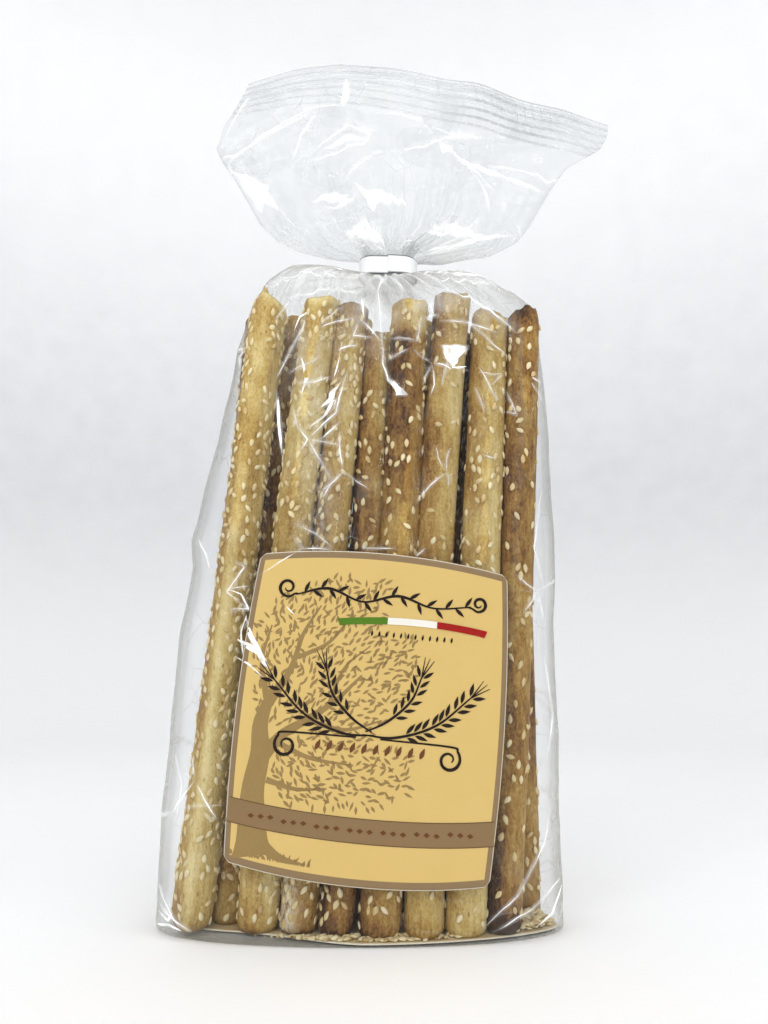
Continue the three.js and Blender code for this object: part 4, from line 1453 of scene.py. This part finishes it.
# a bar in three colours, then plain rows of grains and lozenges
for start_u, end_u, kind in ((-14, 3, GREEN), (3, 19.8, WHITE), (19.8, 37, RED)):
    top = [(t, 32.2 - 0.003 * (t - 12) ** 2) for t in np.linspace(start_u, end_u, 8)]
    foot = [(t + 0.9 * (t < -13) - 0.9 * (t > 36.5), h - 2.3) for t, h in reversed(top)]
    ink_outline(top + foot, kind)
for centre in np.linspace(-2, 25, 12):
    leaf(centre, 25.2, math.pi / 2 - 0.1, 2.1, 0.42, DARK)
for centre in np.linspace(-17, 17.5, 10):
    leaf(centre, -13.2, math.pi / 2 - 0.35, 3.9, 0.85, RUSSET)
lozenge = np.array([(-1.1, 0), (0, 0.8), (1.1, 0), (0, -0.8)])
for middle_u, middle_w in band_line(0)[1:-1]:
    for shift in (-3.2, 0, 3.2):
        ink_outline(lozenge + [middle_u + shift, middle_w], RUSSET)


def ink_finish(name, colour, worn):
    ink = Finish(name)
    speck = ink.noise(0.7)
    tone = ink.blend(speck.step(0.35, 0.75) * 0.35, colour, worn)
    shader = ink.node("ShaderNodeBsdfPrincipled", {}, {
        "Base Color": tone, "Roughness": 0.34 + 0.14 * speck, "Specular IOR Level": 0.2})
    return ink.close(shader)


inks = [
    ink_finish("ink_brown", paint(152, 125, 77), paint(164, 136, 86)),
    ink_finish("ink_band", paint(138, 112, 77), paint(145, 119, 82)),
    ink_finish("ink_line", paint(96, 70, 44), paint(110, 84, 54)),
    ink_finish("ink_russet", paint(104, 62, 34), paint(120, 78, 46)),
    ink_finish("ink_dark", paint(30, 18, 12), paint(46, 30, 22)),
    ink_finish("ink_green", paint(80, 120, 26), paint(92, 128, 38)),
    ink_finish("ink_white", paint(240, 236, 226), paint(232, 228, 216)),
    ink_finish("ink_red", paint(158, 20, 14), paint(166, 32, 24)),
]
make_piece("label_ornaments", prints.points, prints.faces, inks, None, prints.numbers, slot="label_paper")

# %% [markdown]
# Where a sharp crease catches a lamp it shows as a thin white line, brighter than any facet. Such a
# glint is narrower than the film's mesh is fine, so each is its own tapered ribbon. Its line is known
# from the front only, so a ray from the front finds how deep the film, the fan or the label lies there.

# %% Glints along the creases
GLINT_GAP, FLASH_GAP = 0.12, 0.14  # how far they lie in front of what they mark
FLASH_ROWS, FLASH_COLUMNS = 12, 9
GROUNDS = []
for ground_points, ground_faces in (film_sheets["film_front"], film_sheets["fan_front"], label_sheet):
    GROUNDS.append(BVHTree.FromPolygons(ground_points.reshape(-1, 3).tolist(), ground_faces))
glints = Gathering()


def front_at(x, z):
    """The foremost point of the film or the label at x and z, if there is one."""
    hits = [tree.ray_cast((x, -90, z), (0, 1, 0))[0] for tree in GROUNDS]
    return min((hit for hit in hits if hit is not None), key=lambda hit: hit.y, default=None)


def ribbon(line, width, amount, number):
    """A strip along a line, thin at both ends and brightest in its middle."""
    line = np.array(line, float)
    run = np.concatenate([[0], np.cumsum(np.hypot(*np.diff(line, axis=0).T))])
    count = max(5, int(run[-1] / 0.8))
    t = np.linspace(0, run[-1], count)
    path = np.stack([np.interp(t, run, line[:, k]) for k in (0, 1)], -1)
    path[:, 0] += 0.22 * lumps(t, 0 * t, 7.0, number, 3)
    path[:, 1] += 0.22 * lumps(t, 0 * t, 7.0, number + 500, 3)
    taper = np.sin(math.pi * np.linspace(0.03, 0.97, count)) ** 0.6
    taper = taper * (0.75 + 0.35 * lumps(t, 0 * t, 9.0, number + 900, 2))
    rows = []
    for spot, way, share in zip(path, sideways(np.gradient(path, axis=0)), taper):
        row = [front_at(*(spot + way * width / 2 * share * k)) for k in (-1, 0, 1)]
        if None in row:
            break
        rows.append([(hit.x, hit.y - GLINT_GAP, hit.z) for hit in row])
    if len(rows) < 3:
        return
    bright = np.outer(taper[:len(rows)] * amount, (0, 1, 0)).ravel()
    glints.add([point for row in rows for point in row], grid_faces(len(rows), 3), bright)


for number, (line, height) in enumerate(front_lines):
    ribbon(line, 0.35 + 0.45 * height, 0.4 + 0.5 * height, number)
for number, (line, height) in enumerate(FAN_CREASES):
    ribbon(line, 0.35 + 0.4 * height, 0.5 + 0.35 * height, number + 100)
for number, (line, width) in enumerate(FLARES):
    ribbon(line, width, 2.4, number + 200)


def flash(corners, amount):
    """A bright facet between three corners, uneven at its rim."""
    a, b, c = np.array(corners)
    spots = []
    for down in np.linspace(0, 0.96, FLASH_ROWS):
        for across in np.linspace(0, 1, FLASH_COLUMNS):
            spot = mix(mix(a, b, across), c, down)
            spots.append(spot + [0.9 * float(lumps(*spot, 5.0, number, 3)) for number in (700, 701)])
    hits = [front_at(*spot) for spot in spots]
    if None in hits:
        return
    shares = []
    for row in range(FLASH_ROWS):
        for column in range(FLASH_COLUMNS):
            from_rim = min(column, FLASH_COLUMNS - 1 - column, 2) * min(row, 2) / 4
            shares.append(from_rim * (1 - 0.05 * row))
    laid = [(hit.x, hit.y - FLASH_GAP, hit.z) for hit in hits]
    glints.add(laid, grid_faces(FLASH_ROWS, FLASH_COLUMNS), amount * np.array(shares))


for *corners, amount in FACETS:
    flash(corners, amount)


def glint_finish():
    glint = Finish("crease_glint")
    broken = glint.noise(5.0).step(0.3, 0.6)
    share = glint.value("glint").step(0.0, 0.8) * (0.4 + 0.6 * broken)
    through = glint.node("ShaderNodeBsdfTransparent", {}, {"Color": (1, 1, 1, 1)})
    white = glint.node("ShaderNodeBsdfPrincipled", {}, {
        "Base Color": glint.blend(broken, paint(244, 247, 248), paint(253, 254, 254)), "Roughness": 0.3,
        "Emission Color": (1, 1, 1, 1), "Emission Strength": 0.4})
    return glint.close(glint.node("ShaderNodeMixShader", {}, {0: share * 0.92, 1: through, 2: white}))


make_piece("crease_glints", glints.points, glints.faces, [glint_finish()], {"glint": glints.numbers},
           slot="clear_film")
